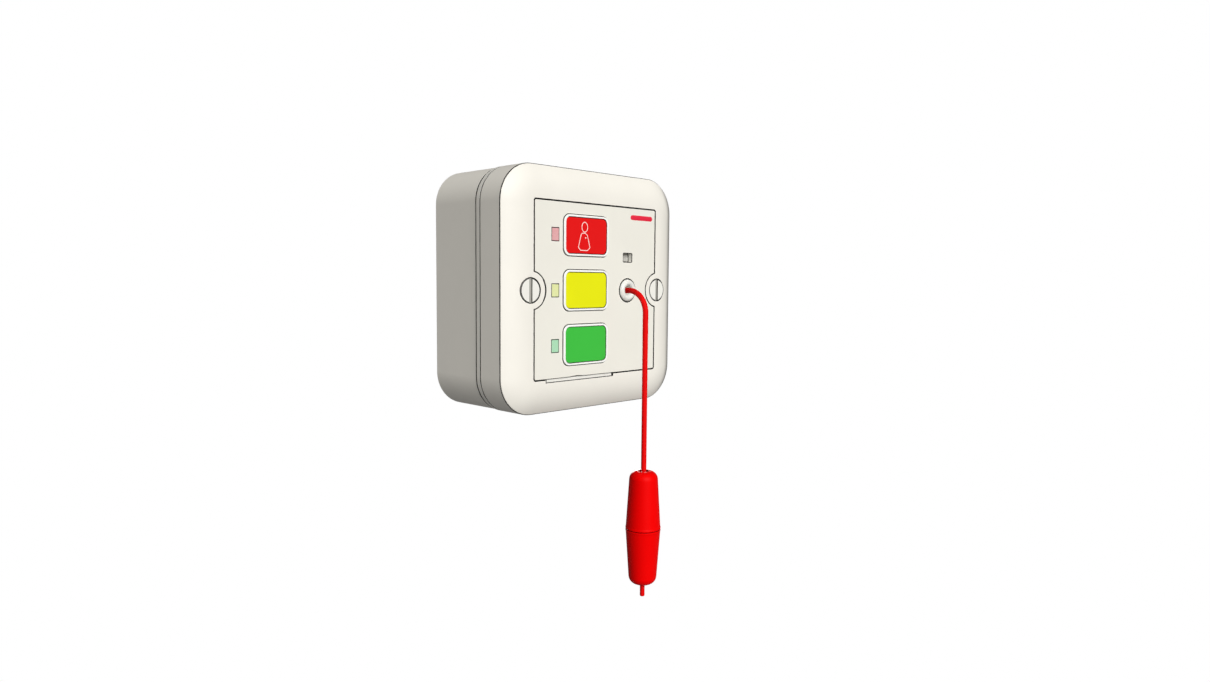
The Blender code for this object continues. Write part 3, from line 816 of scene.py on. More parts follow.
def inset_of(x, z):
    """How far in a point lies from the frame's outline, found by halving."""
    x, z = abs(x), abs(z)
    low, high = 0.0, FRAME_SIDE / 2
    for _ in range(40):
        inset = (low + high) / 2
        half, radius = FRAME_SIDE / 2 - inset, corner_at(inset)
        straight = half - radius
        if x > straight and z > straight:
            outside = math.hypot(x - straight, z - straight) > radius
        else:
            outside = max(x, z) > half
        if outside:
            high = inset
        else:
            low = inset
    return (low + high) / 2


def dome_at(inset):
    """Height of the domed border at an inset from the frame's outline."""
    part = min(1.0, max(0.0, inset / DOME_WIDTH))
    return CREASE_Y + (FACE_Y - CREASE_Y) * (1 - (1 - part) ** DOME_POWER)


def dome(x, z):
    return dome_at(inset_of(x, z))


def notch_arc(radius, edge, side, steps=26):
    """Arc round a screw on the middle's side of x = edge, from the upper crossing down."""
    reach = math.acos((SCREW_X - edge) / radius)
    arc = []
    for i in range(steps + 1):
        angle = math.pi - reach + 2 * reach * i / steps
        arc.append((side * (SCREW_X + radius * math.cos(angle)), radius * math.sin(angle)))
    return arc


def notched_loop(half_w, half_h, radius, notch_radius, lower_edge):
    """Rounded rectangle with round bites at both screws and points along its lower edge."""
    loop = []

    def corner(sign_x, sign_z, start):
        middle_x, middle_z = sign_x * (half_w - radius), sign_z * (half_h - radius)
        for i in range(7):
            angle = math.radians(start + 90 * i / 6)
            loop.append(
                (middle_x + radius * math.cos(angle), middle_z + radius * math.sin(angle))
            )

    corner(1, -1, 270)
    loop.extend(notch_arc(notch_radius, half_w, 1)[::-1])
    corner(1, 1, 0)
    corner(-1, 1, 90)
    loop.extend(notch_arc(notch_radius, half_w, -1))
    corner(-1, -1, 180)
    loop.extend(lower_edge)
    return thin(loop)


def window_outline():
    """The frame's opening for the plate, with a square-cornered step in its lower edge."""
    half_w, half_h = PLATE_HALF_W + WINDOW_GAP, PLATE_HALF_H + WINDOW_GAP
    start, end, step_z = -23.7, 7.5, -29.93
    step = [(start, -half_h), (start, step_z), (end, step_z), (end, -half_h)]
    loop = notched_loop(half_w, half_h, 0.9, EAR_R, step)
    return [(x + (0.2 if x < -25 else 0.0), z) for x, z in loop]


def plate_outline():
    """The plate's outline, with a shallow arc bitten from its lower edge."""
    half_w, half_h = PLATE_HALF_W - 0.08, PLATE_HALF_H - 0.06
    arc_x, arc_z, arc_r = -10.1, -PLATE_HALF_H - 19.72, 20.0
    half = math.asin(math.sqrt(arc_r**2 - (-half_h - arc_z) ** 2) / arc_r)
    arc = []
    for i in range(17):
        angle = math.pi / 2 + half - 2 * half * i / 16
        arc.append((arc_x + arc_r * math.cos(angle), arc_z + arc_r * math.sin(angle)))
    loop = notched_loop(half_w, half_h, 0.5, NOTCH_R, arc)
    return [(x + (0.2 if x < -15 else -0.1 if x > 15 else 0.0), z) for x, z in loop]


def build_frame():
    piece = Build()
    wall, ceiling = 2.0, -34.3  # skirt thickness and hidden back face
    edge_r = 0.07
    bore_floor, shank_hole_r = -35.7, 1.9

    def slot_of(inset, y, next_inset, next_y):
        """Painted shade in the bottom of the crease groove and on the face turned to the ring
        behind.
        """
        groove = max(y, next_y) < CREASE_Y + 0.18 and min(y, next_y) > CREASE_Y - 0.22
        groove = groove and max(inset, next_inset) < 0.37
        rear = abs(y - FRAME_BACK) < 1e-6 and abs(next_y - FRAME_BACK) < 1e-6
        return 2 if groove or rear else 0

    # inset, y, corner radius: up the skirt, over the crease groove and on to the dome
    dome_start = 0.6
    side = rounded_path(
        [
            (wall, ceiling, 0),
            (wall, FRAME_BACK, 0.15),
            (0.0, FRAME_BACK, 0.04),
            (0.0, CREASE_Y + 0.13, 0.02),
            (0.12, CREASE_Y + 0.10, 0.02),
            (0.30, CREASE_Y - 0.10, 0.02),
            (0.21, dome_at(0.21), 0.02),
            (dome_start, dome_at(dome_start), 0),
        ],
        steps=4,
    )
    ringed_to, dome_steps = 5.4, 18
    for i in range(1, dome_steps + 1):
        inset = dome_start + (ringed_to - dome_start) * i / dome_steps
        side.append((inset, dome_at(inset)))
    piece.chain([lift(frame_ring(inset), y) for inset, y in side], span_slots(side, slot_of))

    # the rest of the dome, triangulated round the window and screw bores
    window = hole(window_outline())
    bores = [hole(circle(sign * SCREW_X, 0, BORE_R, 72)) for sign in (-1, 1)]
    loops = [window] + bores
    extra = []
    for inset in np.arange(6.0, 11.0, 0.45):
        ring = np.array(frame_ring(inset, steps=22, along=40))
        clear = np.ones(len(ring), bool)
        for loop in loops:
            clear &= ~inside(ring, shift(loop, edge_r + 0.28))
        extra += [tuple(point) for point in ring[clear]]
    edges = [edge_rings(loop, dome, edge_r, 4) for loop in loops]
    piece.region(frame_ring(ringed_to), [flat(edge[0]) for edge in edges], dome, extra)
    for edge in edges:
        piece.chain(edge)
    # the window wall and, below, the screw bores take painted shade a little behind the face
    piece.strip(edges[0][-1], lift(window, ceiling), 1)

    shank_holes = [hole(circle(sign * SCREW_X, 0, shank_hole_r, 72)) for sign in (-1, 1)]
    for edge, bore, shank_hole in zip(edges[1:], bores, shank_holes):
        rings = [
            edge[-1],
            lift(bore, bore_floor),
            lift(shank_hole, bore_floor),
            lift(shank_hole, ceiling),
        ]
        piece.chain(rings, 1)
    piece.region(frame_ring(wall), [window] + shank_holes, ceiling)
    obj = piece.make("front_frame_shell", smooth=32)
    dress(obj, ["frame", "frame_gap", "gap"], "frame_shell", "housing", "front_frame")


def build_plate():
    piece = Build()
    edge_r, port_edge_r, port_land = 0.06, 0.15, 0.27
    wall_split = -36.4
    loops = [plate_outline()]
    for word in BUTTONS:
        x, _, z = middle(f"button_{word}")
        loops.append(hole(rounded(*BUTTON_HOLE, x - BUTTON_SHIFT, z, steps=14)))
        x, _, z = middle(f"window_{word}")
        loops.append(hole(rounded(3.4, 4.5, 0.15, x, z, steps=3)))
    x, _, z = middle("port_insert")
    port = hole(rounded(4.3, 2.9, 0.15, x, z, steps=3))
    x, _, z = middle("cord_bushing")
    loops += [port, hole(circle(x, z, 4.27, 72))]

    edges = []
    for loop in loops:
        radius = port_edge_r if loop is port else edge_r
        edge = edge_rings(loop, PLATE_FACE, radius, 3)
        if loop is port:
            edge = [lift(shift(port, port_land), PLATE_FACE)] + edge
        edges.append(edge)
    outlines = [flat(edge[0]) for edge in edges]
    piece.region(outlines[0], outlines[1:], PLATE_FACE)
    for loop, edge in zip(loops, edges):
        # the port's rounded edge and its wall behind the split take painted shade
        dark, wall = (2, 1) if loop is port else (0, 0)
        piece.chain(edge, dark)
        piece.strip(edge[-1], lift(loop, wall_split), wall)
        piece.wall(loop, wall_split, PLATE_BACK, dark)
    piece.region(loops[0], loops[1:], PLATE_BACK)
    obj = piece.make("front_plate_face", smooth=32)
    dress(obj, ["plate", "port_wall", "gap"], "plate_white", "housing", "front_plate")


# =============================================================================
# back box and mounting ring
# =============================================================================
def build_box():
    piece = Build()
    corner, wall, floor = 11.8, 2.0, -2.5
    back_inset = 1.2
    rim = box_low[1] + 0.18 + 0.46
    lip = box_low[1] - 0.25  # the rim's inner lip, which closes the joint behind the ring

    def ring(inset):
        side = BOX_SIDE - 2 * inset
        radius = max(CORNER_R_LEAST, corner - inset)
        return rounded(side, side, radius, steps=CORNER_STEPS, along=2)

    def slot_of(inset, y, next_inset, next_y):
        """Painted shade on the rim and its lip."""
        forward = max(y, next_y) < rim + 0.01
        return 1 if forward and min(inset, next_inset) < 1.7 and max(inset, next_inset) > 0.1 else 0

    # inset, y, corner radius
    profile = rounded_path(
        [
            (back_inset, 0.0, 0),
            (0.0, 0.0, 0.7),
            (0.0, rim, 0.04),
            (0.55, rim, 0.03),
            (0.55, lip, 0.03),
            (wall, lip, 0.2),
            (wall, floor, 0),
        ],
        steps=5,
    )
    piece.chain([lift(ring(inset), y) for inset, y in profile], span_slots(profile, slot_of))

    # two wall slots and the round cable opening
    relief_y = -0.35
    slots = [hole(rounded(9.0, 4.4, 2.19, sign * 30, 0, steps=10)) for sign in (-1, 1)]
    opening = hole(circle(0, 17, 6.0, 64))
    for loop in slots:
        piece.wall(loop, relief_y, floor)
    piece.wall(opening, 0.0, floor)

    # shallow round marks, and a shallow relief round each wall slot
    mark_y = -0.12
    marks = [hole(circle(x * 27, z * 25, 2.4)) for x in (-1, 1) for z in (-1, 1)]
    reliefs = [rounded(13.4, 8.8, 4.3, sign * 30, 0, steps=12) for sign in (-1, 1)]
    for loop in marks:
        piece.wall(loop, 0.0, mark_y)
        piece.cap(lift(loop, mark_y))
    for relief, slot in zip(reliefs, slots):
        piece.wall(hole(relief), 0.0, relief_y)
        piece.region(relief, [slot], relief_y)
    back_holes = [opening] + marks + [hole(relief) for relief in reliefs]
    piece.region(ring(back_inset), back_holes, 0.0)

    # bored posts above and below
    post_y, bore_end = -22.9, -9.0
    posts = [hole(circle(0, sign * 30, 3.6)) for sign in (-1, 1)]
    bores = [hole(circle(0, sign * 30, 1.6)) for sign in (-1, 1)]
    piece.region(ring(wall), slots + [opening] + posts, floor)
    for post, bore in zip(posts, bores):
        piece.chain([lift(post, floor), lift(post, post_y), lift(bore, post_y)])
        piece.wall(bore, post_y, bore_end)
        piece.cap(lift(bore, bore_end))
    obj = piece.make("back_box_shell", smooth=32)
    dress(obj, ["box", "gap"], "box_shell", "housing", "back_box")


# x, z, outer radius, bore radius, front y
BOSSES = (
    (-SCREW_X, 0.0, 3.7, 1.8, -33.6),
    (SCREW_X, 0.0, 3.7, 1.8, -33.6),
    (-22.0, -23.0, 2.4, 1.2, -27.1),
    (22.0, 23.0, 2.4, 1.2, -27.1),
)
# x, z, radius, front y
STUDS = ((-22.0, 23.0, 2.4, -27.1), (22.0, -23.0, 2.4, -27.1))


def build_carrier():
    """The ring between box and frame, with its web, bosses, studs and bays."""
    piece = Build()
    face, back = -25.16, -23.27
    edge_r = 0.04
    step_y = face + 0.26
    outer = rounded(RING_SIDE, RING_SIDE, CORNER_R, steps=CORNER_STEPS, along=2)
    bays = [
        hole(rounded(30.0, 18.0, 1.5, 7.0, 0, steps=6)),
        hole(rounded(13.6, 22.0, 1.5, -18.4, 0, steps=6)),
    ]
    through = bays + [hole(circle(0, sign * 30, 1.8, 32)) for sign in (-1, 1)]
    bosses = [hole(circle(x, z, radius)) for x, z, radius, _, _ in BOSSES]
    bores = [hole(circle(x, z, radius)) for x, z, _, radius, _ in BOSSES]
    studs = [hole(circle(x, z, radius)) for x, z, radius, _ in STUDS]

    # a low lip behind the frame's skirt closes the joint to it
    core, inner, lip = shift(outer, 0.35), shift(outer, 1.3), FRAME_BACK + 0.02
    edge = [lift(inner, face), lift(inner, lip), lift(core, lip), lift(core, step_y)]
    edge += edge_rings(outer, step_y, edge_r, 2)
    # the front face, the lip and the step before the rounded edge take painted shade
    piece.region(inner, through + bosses + studs, face, slot=1)
    piece.chain(edge[:5], 1)
    piece.chain(edge[4:])

    # back edge: the front kind of rounding mirrored about the back plane
    rear = [
        [(x, 2 * back - y, z) for x, y, z in ring]
        for ring in edge_rings(outer, back, edge_r, 3)
    ]
    piece.strip(edge[-1], rear[-1])
    piece.chain(rear)
    for loop in through:
        piece.wall(loop, face, back)
    for (*_, top), wide, narrow in zip(BOSSES, bosses, bores):
        piece.chain([lift(wide, face), lift(wide, top), lift(narrow, top), lift(narrow, back)])
    for (*_, top), wide in zip(STUDS, studs):
        piece.wall(wide, face, top)
        piece.cap(lift(wide, top))
    # the back face takes painted shade too
    piece.region(flat(rear[0]), through + bores, back, slot=1)
    obj = piece.make("mounting_frame_ring", smooth=32)
    dress(obj, ["carrier", "gap"], "carrier_white", "housing", "mounting_frame")


# =============================================================================
# release tab and cover screws
# =============================================================================
def build_tab():
    piece = Build()
    low, high = box("release_tab")
    width, height = high[0] - low[0] - 0.75, high[2] - low[2]
    x, z = (low[0] + high[0]) / 2 + 0.37, (low[2] + high[2]) / 2 + 0.18
    loop = rounded(width, height, 0.12, x, z, steps=4)
    piece.loft(edge_rings(loop, low[1], 0.08, 3) + [lift(loop, high[1])])
    obj = piece.make("release_tab_strip")
    dress(obj, ["screw"], "screw_white", "housing", "release_tab")


def build_screw(node, name):
    """Slotted plastic screw. The head is cut from a turned blank, then its edges are eased."""
    low, high = box(node)
    centre_x = middle(node)[0]
    face, tip = low[1] - 0.07, high[1]
    head_back, shank_r, pole_r = -36.0, 1.5, 0.02
    slot_width, slot_length, slot_depth, slot_shift = 1.3, 10.0, 0.55, 0.1

    blank = Build()
    # radius, y, corner radius
    turned = rounded_path(
        [
            (1.0, face, 0),
            (HEAD_R - 0.28, face, 0),
            (HEAD_R, face, 0.03),
            (HEAD_R, head_back, 0.1),
            (shank_r, head_back, 0.1),
            (shank_r, tip - 0.6, 0.05),
            (1.0, tip, 0.05),
            (pole_r, tip, 0),
        ],
        steps=4,
    )
    blank.loft(lathe([(pole_r, face)] + turned, centre_x, 0.0, steps=72))
    obj = blank.make(name, weighted=False)

    bar = Build()
    loop = rounded(slot_width, slot_length, 0.1, centre_x + slot_shift, 0.0, steps=3)
    bar.loft([lift(loop, face - 1.0), lift(loop, face + slot_depth)])
    cutter = bar.make(name + "_cutter", weighted=False)
    cut = obj.modifiers.new("slot", "BOOLEAN")
    cut.operation = "DIFFERENCE"
    cut.object = cutter
    cut.solver = "EXACT"
    bpy.context.view_layer.update()
    graph = bpy.context.evaluated_depsgraph_get()
    result = bpy.data.meshes.new_from_object(obj.evaluated_get(graph))
    obj.modifiers.clear()
    obj.data = result
    obj.data.name = name
    bpy.data.objects.remove(cutter, do_unlink=True)
    obj.data.materials.clear()
    obj.data.shade_smooth()
    obj.data.set_sharp_from_angle(angle=math.radians(32))
    ease = obj.modifiers.new("eased", "BEVEL")
    ease.width = 0.00003
    ease.segments = 2
    ease.limit_method = "ANGLE"
    ease.angle_limit = math.radians(60)

    # slots: head, slot floor and slot wall in painted shade, outer edge ring in dark painted shade
    for polygon in obj.data.polygons:
        x, y, z = polygon.center * 1000
        in_slot = abs(x - centre_x - slot_shift) < 0.66 and face + 0.02 < y < face + 0.6
        if math.hypot(x - centre_x, z) > HEAD_R - 0.29 and y < face + 0.05:
            polygon.material_index = 3
        elif in_slot and polygon.area > 1e-9:
            polygon.material_index = 1 if abs(polygon.normal.y) > 0.7 else 2
        else:
            polygon.material_index = 0
    looks = ["screw_head", "slot_floor", "slot_wall", "gap"]
    dress(obj, looks, "screw_white", "housing", node)


# =============================================================================
# buttons, their print and the windows
# =============================================================================
def button_centre(node):
    x, _, z = middle(node)
    return x - BUTTON_SHIFT, z


def build_cap(word):
    """White rim round a dark recess, with a flange behind the plate."""
    x, z = button_centre(f"button_{word}")
    face = box(f"button_{word}")[0][1]
    flange_back, flange_front, recess_floor = -34.6, -35.5, -37.85

    def ring(outline, inset, y):
        width, height, radius = outline
        radius = max(0.2, radius - inset)
        return lift(rounded(width - 2 * inset, height - 2 * inset, radius, x, z, steps=14), y)

    # inset, y, corner radius
    outer = rounded_path([(0.0, flange_front, 0), (0.0, face, 0.2), (0.7, face, 0)], steps=6)
    inner = rounded_path([(-0.3, face, 0), (0.0, face, 0.05), (0.0, recess_floor, 0)], steps=3)
    rings = [
        ring(CAP_FLANGE, 0, flange_back),
        ring(CAP_FLANGE, 0, flange_front),
        ring(CAP_OUTLINE, 0, flange_front),
    ]
    rings += [ring(CAP_OUTLINE, inset, y) for inset, y in outer[1:-1]]
    rings += [ring(CAP_RECESS, inset, y) for inset, y in inner[1:]]
    piece = Build()
    piece.chain(rings[:-1])
    # the recess wall and floor take painted shade
    piece.strip(rings[-2], rings[-1], 1)
    piece.cap(rings[0])
    piece.cap(rings[-1], 1)
    obj = piece.make(f"button_{word}_cap", smooth=38)
    dress(obj, ["cap", "recess"], "cap_white", f"{word}_button", f"button_{word}")


def build_stem(word):
    """Stem that meets the small switch behind the button."""
    x, z = button_centre(f"button_{word}")
    # radius, y, corner radius
    rows = [(0.02, -34.7, 0), (2.0, -34.7, 0.05), (2.0, -33.1, 0.3), (0.02, -33.1, 0)]
    piece = Build()
    piece.loft(lathe(rounded_path(rows, steps=4), x, z, steps=32))
    obj = piece.make(f"button_{word}_stem")
    dress(obj, ["cap"], "cap_white", f"{word}_button")


def build_inlay(word, colour):
    """Coloured inlay, very slightly crowned."""
    x, z = button_centre(f"button_{word}")
    low, high = box(f"inlay_{word}")
    top, back = low[1], high[1]
    width, height, corner, edge_r = 18.6, 11.66, 1.7, 0.06
    # width, height, corner radius, y
    rows = [
        (width - 0.2, height - 0.2, 1.6, back),
        (width, height, corner, back - 0.05),
    ]
    for k in range(5):
        angle = math.pi / 2 * k / 4
        inset = edge_r * (1 - math.cos(angle))
        y = top + 0.03 + edge_r * (1 - math.sin(angle))
        rows.append((width - 2 * inset, height - 2 * inset, corner - inset, y))
    rows += [(15.0, 8.6, 1.2, top + 0.008), (9.0, 4.0, 0.8, top)]
    piece = Build()
    piece.loft([lift(rounded(*outline, x, z, steps=14), y) for *outline, y in rows])
    obj = piece.make(f"inlay_{word}_face", smooth=38)
    dress(obj, [colour], f"inlay_{colour}", f"{word}_button", f"inlay_{word}")


# corners of the figure's body as x, z from its middle
BODY = (
    (-0.60, 0.86), (-2.0, 0.86), (-2.55, 0.2), (-3.75, -3.9),
    (-2.65, -4.85), (0.35, -4.85), (1.6, -3.9), (0.35, 0.2),
)


def build_figure():
    """Outline of a person on the top inlay."""
    x, z = button_centre("inlay_top")
    top = box("inlay_top")[0][1]
    front, back, line_width = top - 0.02, top + 0.06, 0.26
    piece = Build()

    def line(loop):
        """Flat raised line along a closed loop."""
        outer, inner = shift(loop, -line_width / 2), shift(loop, line_width / 2)
        rings = [lift(outer, back), lift(outer, front), lift(inner, front), lift(inner, back)]
        piece.chain(rings, closed=True)

    line(
        [
            (x - 1.0 + 1.30 * math.cos(angle), z + 2.85 + 1.62 * math.sin(angle))
            for angle in np.linspace(0, 2 * math.pi, 41)[:-1]
        ]
    )
    corners = [(x - 0.15 + dx, z + dz, 0.35) for dx, dz in BODY]
    body = []
    for i in range(len(corners)):
        three = [corners[i - 1], corners[i], corners[(i + 1) % len(corners)]]
        body += rounded_path(three, steps=4)[1:-1]
    line(thin(body))
    dot = circle(x - 0.55, z - 0.65, 0.26, 20)
    piece.loft([lift(dot, back), lift(dot, front)])
    obj = piece.make("inlay_top_figure", weighted=False)
    dress(obj, ["print"], "cap_white", "top_button")


def build_mark():
    """Plain red bar near the plate's upper corner on the +X side."""
    # width, height, corner radius, y from the plate's face
    rows = ((11.4, 1.7, 0.84, 0.05), (11.4, 1.7, 0.84, -0.012), (11.34, 1.64, 0.81, -0.02))
    piece = Build()
    piece.loft(
        [lift(rounded(*outline, 21.3, 25.45, steps=8), PLATE_FACE + y) for *outline, y in rows]
    )
    obj = piece.make("plate_mark", weighted=False)
    dress(obj, ["mark"], "inlay_red", "housing")


def build_window(word, colour):
    """Small lens, with a flange behind the plate and a foot behind that."""
    x, _, z = middle(f"window_{word}")
    low, high = box(f"window_{word}")
    flange_front, flange_back = -35.5, -34.7
    # inset, y, corner radius
    top = rounded_path([(0.6, low[1], 0), (0.0, low[1], 0.04), (0.0, flange_front, 0)], steps=3)
    # width, height, y
    rows = [(2.9 - 2 * inset, 4.0 - 2 * inset, y) for inset, y in top]
    rows += [
        (4.4, 5.6, flange_front),
        (4.4, 5.6, flange_back),
        (2.6, 3.4, flange_back),
        (2.6, 3.4, high[1]),
    ]
    piece = Build()
    piece.loft([lift(rounded(width, height, 0.2, x, z, steps=4), y) for width, height, y in rows])
    obj = piece.make(f"window_{word}_lens")
    dress(obj, [f"lens_{colour}"], f"lens_{colour}", "housing", f"window_{word}")


# =============================================================================
# bushing, cord and handle
# =============================================================================
def build_bushing():
    x, _, z = middle("cord_bushing")
    front = box("cord_bushing")[0][1]
    # radius, y: from the back up the bore, over the lip, down the outside to the flange
    profile = [
        (1.6, -34.75),
        (1.6, -37.4),
        (1.66, -37.95),
        (1.80, -38.40),
        (2.02, -38.72),
        (2.32, -38.92),
        (2.65, front),
        (2.92, front + 0.03),
        (3.22, front + 0.15),
        (3.50, front + 0.37),
        (3.70, front + 0.66),
        (3.81, front + 0.92),
        (3.84, front + 1.0),
        (3.88, front + 1.4),
        (3.88, -35.5),
        (5.2, -35.5),
        (5.2, -34.75),
    ]

    def slot_of(radius, _, next_radius, __):
        """Painted shade on the outside, where it faces the plate's hole."""
        return 1 if min(radius, next_radius) > 3.82 else 0

    piece = Build()
    piece.chain(lathe(profile, x, z), span_slots(profile, slot_of), closed=True)
    obj = piece.make("cord_bushing_ring", smooth=45)
    dress(obj, ["bushing", "gap"], "bushing_white", "housing", "cord_bushing")


def cord_station(along):
    """(y, z) and heading on the cord's middle line, at a length from its start."""
    if along < CORD_STRAIGHT:
        return (CORD_START - along, CORD_Z), (-1.0, 0.0)
    if along < CORD_STRAIGHT + CORD_ARC:
        angle = (along - CORD_STRAIGHT) / BEND_R
        y = HANG_Y + BEND_R - BEND_R * math.sin(angle)
        z = CORD_Z - BEND_R + BEND_R * math.cos(angle)
        return (y, z), (-math.cos(angle), -math.sin(angle))
    fallen = along - CORD_STRAIGHT - CORD_ARC
    return (HANG_Y, CORD_Z - BEND_R - fallen), (0.0, -1.0)


def length_to(z):
    """Length along the cord to a height on its hanging part."""
    return CORD_STRAIGHT + CORD_ARC + (CORD_Z - BEND_R - z)


def braid_ring(along, base):
    """One ring of a round braid: strands run both ways and lift where they cross over."""
    steps, lumps, pitch, depth = 40, 8, 5.2, 0.022
    (y, z), (heading_y, heading_z) = cord_station(along)
    ring = []
    for i in range(steps):
        angle = 2 * math.pi * i / steps
        twist = 2 * math.pi * along / pitch * 2
        weave = math.cos(lumps * angle / 2 + twist) * math.cos(lumps * angle / 2 - twist)
        radius = base - depth + depth * abs(weave) ** 0.6 * 0.9
        outward = radius * math.sin(angle)
        ring.append(
            (CORD_X + radius * math.cos(angle), y - outward * heading_z, z + outward * heading_y)
        )
    return ring


def braided(name, start, end, step, swell):
    """Braid between two lengths; swell(along) is added to its radius."""
    count = max(2, int(round((end - start) / step)))
    stations = [start + (end - start) * k / count for k in range(count + 1)]
    piece = Build()
    piece.loft([braid_ring(along, BRAID_R + swell(along)) for along in stations])
    obj = piece.make(name, smooth=60, weighted=False)
    obj.visible_shadow = False
    obj.visible_diffuse = False
    return obj


def build_outer_cord():
    split = length_to(-20.0)
    end = length_to(CORD_END)
    knot = length_to(-86.6)

    def elbow_swell(along):
        return 0.05 * min(1.0, (split - along) / 8.0)

    def hanging_swell(along):
        """The knot's bulge, a thinner tail below it and a drawn-in tip."""
        bulge = 0.85 * math.exp(-(((along - knot) / 1.1) ** 2))
        tip = 1.0 if along < end - 0.15 else max(0.0, (end - along) / 0.15)
        tail = 0.10 * min(1.0, max(0.0, (along - knot - 3.0) / 2.0))
        return bulge - 0.14 * (1 - tip) - tail

    elbow = braided("cord_elbow_braid", 0.0, split, 0.2, elbow_swell)
    dress(elbow, ["cord"], "cord_red", None, "cord_bend")
    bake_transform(elbow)
    hanging = braided("cord_hanging_braid", split, end, 0.22, hanging_swell)
    dress(hanging, ["cord"], "cord_red", None, "cord_upper", "cord_lower")
    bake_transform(hanging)


def build_inner_cord():
    """Inside the housing: from the bushing back to the knot behind the puller."""
    x, _, z = middle("cord_inner")
    back = box("cord_inner")[1][1]
    knot_start = -15.3
    profile = [(0.95, -34.9), (0.95, -30.0)]
    for k in range(40):
        profile.append((0.97 + 0.03 * math.sin(k * 2.1), -29.5 + 14.0 * k / 39))
    for k in range(13):
        y = knot_start + (back - knot_start) * k / 12
        bulge = 1.0 + 0.7 * math.sin(math.pi * min(1.0, (k + 0.6) / 12.6)) ** 0.8
        profile.append((bulge if k < 12 else 0.6, y))
    piece = Build()
    piece.loft(lathe(profile, x, z, steps=24))
    obj = piece.make("cord_inner_length", smooth=60, weighted=False)
    dress(obj, ["cord"], "cord_red", None, "cord_inner")
    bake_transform(obj)
    return x, z


def build_spring(x, z):
    """Coil spring round the puller, about the inner cord's axis."""
    low, high = box("puller_spring")
    turns, per_turn, wire_r, coil_r = 5, 40, 0.28, 3.95
    rings = []
    for k in range(turns * per_turn + 1):
        angle = 2 * math.pi * k / per_turn
        y = low[1] + wire_r + (high[1] - low[1] - 2 * wire_r) * k / (turns * per_turn)
        ring = []
        for j in range(12):
            around = 2 * math.pi * j / 12
            radius = coil_r + wire_r * math.cos(around)
            ring.append(
                (
                    x + radius * math.cos(angle),
                    y + wire_r * math.sin(around),
                    z + radius * math.sin(angle),
                )
            )
        rings.append(ring)
    piece = Build()
    piece.loft(rings)
    obj = piece.make("puller_spring_coil", smooth=60, weighted=False)
    dress(obj, ["steel"], "zinc_steel", None, "puller_spring")
    metres(x, low[1], z)
    metres(x, high[1], z)
    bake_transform(obj)


def build_handle():
    """Two tapered grips that meet at a seam, both turned round the hanging cord."""
    top, end = box("handle_upper")[1][2] + 0.5, box("handle_lower")[0][2]
    seam = -83.53
    top_r, seam_r, end_r, bore_r = 4.98, 6.2, 4.85, 1.35
    socket_r, socket_top = 3.4, -77.0  # hollow of the upper grip
    spigot_r, spigot_top = 3.1, -78.5  # neck of the lower grip that enters it
    chamber_r, chamber_floor = 2.3, -90.0

    def belly(sign):
        """Rows of the widest part, above or below the seam."""
        return [
            (seam_r - 0.13, seam + sign * 1.0, 0.5),
            (seam_r - 0.01, seam + sign * 0.55, 0.3),
            (seam_r - 0.03, seam + sign * 0.10, 0.12),
        ]

    # radius, z, corner radius
    upper = [
        (socket_r, socket_top, 0),
        (bore_r, socket_top, 0),
        (bore_r, top - 0.9, 0.2),
        (1.7, top, 0.2),
        (top_r - 0.1, top, 3.4),
        *belly(1),
        (socket_r, seam + 0.10, 0),
        (socket_r, socket_top, 0),
    ]
    lower = [
        (bore_r, chamber_floor, 0),
        (bore_r, end + 0.5, 0.2),
        (1.6, end, 0.2),
        (end_r - 0.1, end, 3.2),
        *belly(-1),
        (spigot_r, seam - 0.10, 0),
        (spigot_r, spigot_top, 0.1),
        (chamber_r, spigot_top, 0.1),
        (chamber_r, chamber_floor, 0),
        (bore_r, chamber_floor, 0),
    ]
    for part, rows, dark_r in (("upper", upper, 1.95), ("lower", lower, 1.65)):

        def slot_of(radius, z, next_radius, next_z):
            """Painted shade down the bore and between the two halves."""
            joint = abs(z - seam) < 0.11 and abs(next_z - seam) < 0.11
            return 1 if max(radius, next_radius) <= dark_r or joint else 0

        profile = rounded_path(rows, steps=9, share=0.88)[:-1]
        # turned about Y, then Y and Z swapped so that the axis runs along Z
        rings = [[(x, z, y) for x, y, z in ring] for ring in lathe(profile, CORD_X, HANG_Y)]
        piece = Build()
        piece.chain(rings, span_slots(profile, slot_of), closed=True)
        obj = piece.make(f"handle_{part}_grip", smooth=42)
        dress(obj, ["handle", "handle_dark"], "handle_red", "pull_handle", f"handle_{part}")


build_frame()
build_plate()
build_box()
build_carrier()
build_tab()
for side_name in ("left", "right"):
    build_screw(f"cover_screw_{side_name}", f"cover_screw_{side_name}_head")
for word, colour_name in BUTTONS.items():
    build_cap(word)
    build_stem(word)
    build_inlay(word, colour_name)
build_figure()
build_mark()
for word, colour_name in BUTTONS.items():
    build_window(word, colour_name)
build_bushing()
build_outer_cord()
build_spring(*build_inner_cord())
build_handle()


# =============================================================================
# floor, world, lights and camera (metres)
# =============================================================================
def build_floor():
    """Plain floor, pure white to the camera and grey to the light."""
    half = 6
    mesh = bpy.data.meshes.new("floor")
    corners = [(-half, -half, 0), (half, -half, 0), (half, half, 0), (-half, half, 0)]
    mesh.from_pydata(corners, [], [(0, 1, 2, 3)])
    obj = bpy.data.objects.new("floor", mesh)
    obj.location = (0, 0, -0.75)
    bpy.context.scene.collection.objects.link(obj)
    look = Look("pale_floor", colour=(0.30, 0.30, 0.30), rough=0.9)
    ray = look.node("LightPath")
    glow = look.node("Emission", {"Color": (1, 1, 1), "Strength": 1.0})
    share = look.times(ray.outputs["Is Camera Ray"], 1.0)
    mix = look.node("MixShader", {0: share, 1: look.shader.outputs[0], 2: glow.outputs[0]})
    output = look.tree.nodes["Material Output"]
    feed(look.tree, output, {"Surface": mix.outputs[0]})
    mesh.materials.append(look.material)


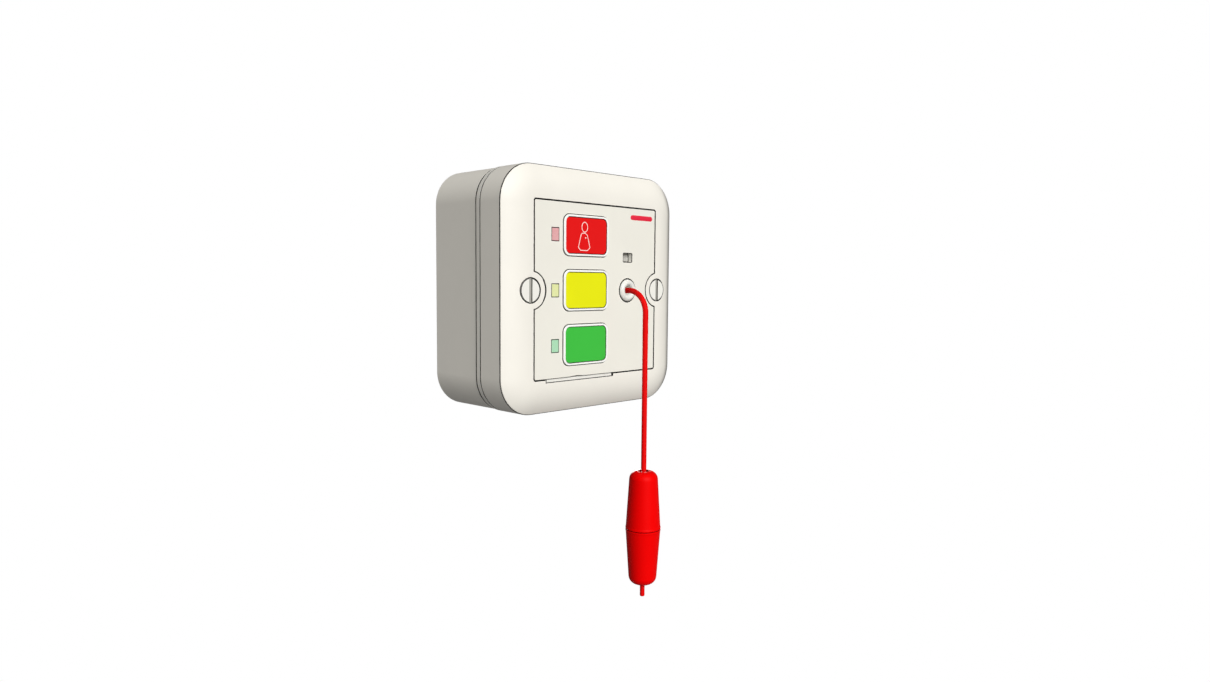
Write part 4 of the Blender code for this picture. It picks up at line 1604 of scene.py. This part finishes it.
def build_world():
    """White to the camera, a weak warm fill to everything else."""
    world = bpy.data.worlds.new("studio")
    bpy.context.scene.world = world
    world.use_nodes = True
    tree = world.node_tree
    tree.nodes.clear()
    seen = add_node(tree, "Background", {"Color": (1, 1, 1), "Strength": 1.0})
    fill = add_node(tree, "Background", {"Color": (1.0, 0.99, 0.98), "Strength": 0.132})
    camera_ray = add_node(tree, "LightPath").outputs["Is Camera Ray"]
    inputs = {0: camera_ray, 1: fill.outputs[0], 2: seen.outputs[0]}
    join = add_node(tree, "MixShader", inputs)
    add_node(tree, "OutputWorld", {"Surface": join.outputs[0]})


def sun(name, towards, strength, angle):
    """Distant soft light that shines along the given direction; angle in degrees."""
    data = bpy.data.lights.new(name, "SUN")
    data.energy = strength
    data.angle = math.radians(angle)
    obj = bpy.data.objects.new(name, data)
    obj.rotation_mode = "QUATERNION"
    obj.rotation_quaternion = Vector(towards).to_track_quat("-Z", "Y")
    bpy.context.scene.collection.objects.link(obj)


def build_camera():
    # heading from +Y towards +X, tilt down, and lean about the view line
    yaw, pitch, roll = (math.radians(degrees) for degrees in (45.376, 4.313, 0.478))
    up = Vector((0, 0, 1))
    level = Vector((math.sin(yaw), math.cos(yaw), 0))
    right = Vector((math.cos(yaw), -math.sin(yaw), 0))
    forward = math.cos(pitch) * level - math.sin(pitch) * up
    above = math.sin(pitch) * level + math.cos(pitch) * up
    rolled_right = math.cos(roll) * right + math.sin(roll) * above
    rolled_up = -math.sin(roll) * right + math.cos(roll) * above
    pose = Matrix((rolled_right, rolled_up, -forward)).transposed().to_4x4()
    pose.translation = Vector((-0.19602, -0.23497, 0.00349))

    camera = bpy.data.objects.new("camera", bpy.data.cameras.new("camera"))
    camera.data.sensor_width = 36.0
    camera.data.sensor_fit = "HORIZONTAL"
    camera.data.lens = 24.26638017
    camera.data.shift_x = -0.0004132231405
    camera.data.shift_y = 0.0004132231405
    camera.data.clip_start = 0.01
    camera.data.clip_end = 50.0
    camera.matrix_world = pose
    bpy.context.scene.collection.objects.link(camera)
    bpy.context.scene.camera = camera


build_floor()
build_world()
sun("key", towards=(0.285, 0.915, -0.50), strength=3.14 * 1.085, angle=40)
# shines back towards the camera, so it reaches only the back and the far side
sun("rear", towards=(-0.66, -0.75, -0.10), strength=3.14 * 0.55, angle=12)
build_camera()

view = bpy.context.scene.view_settings
view.view_transform = "Standard"
view.look = "None"
view.exposure = 0.0
view.gamma = 1.0
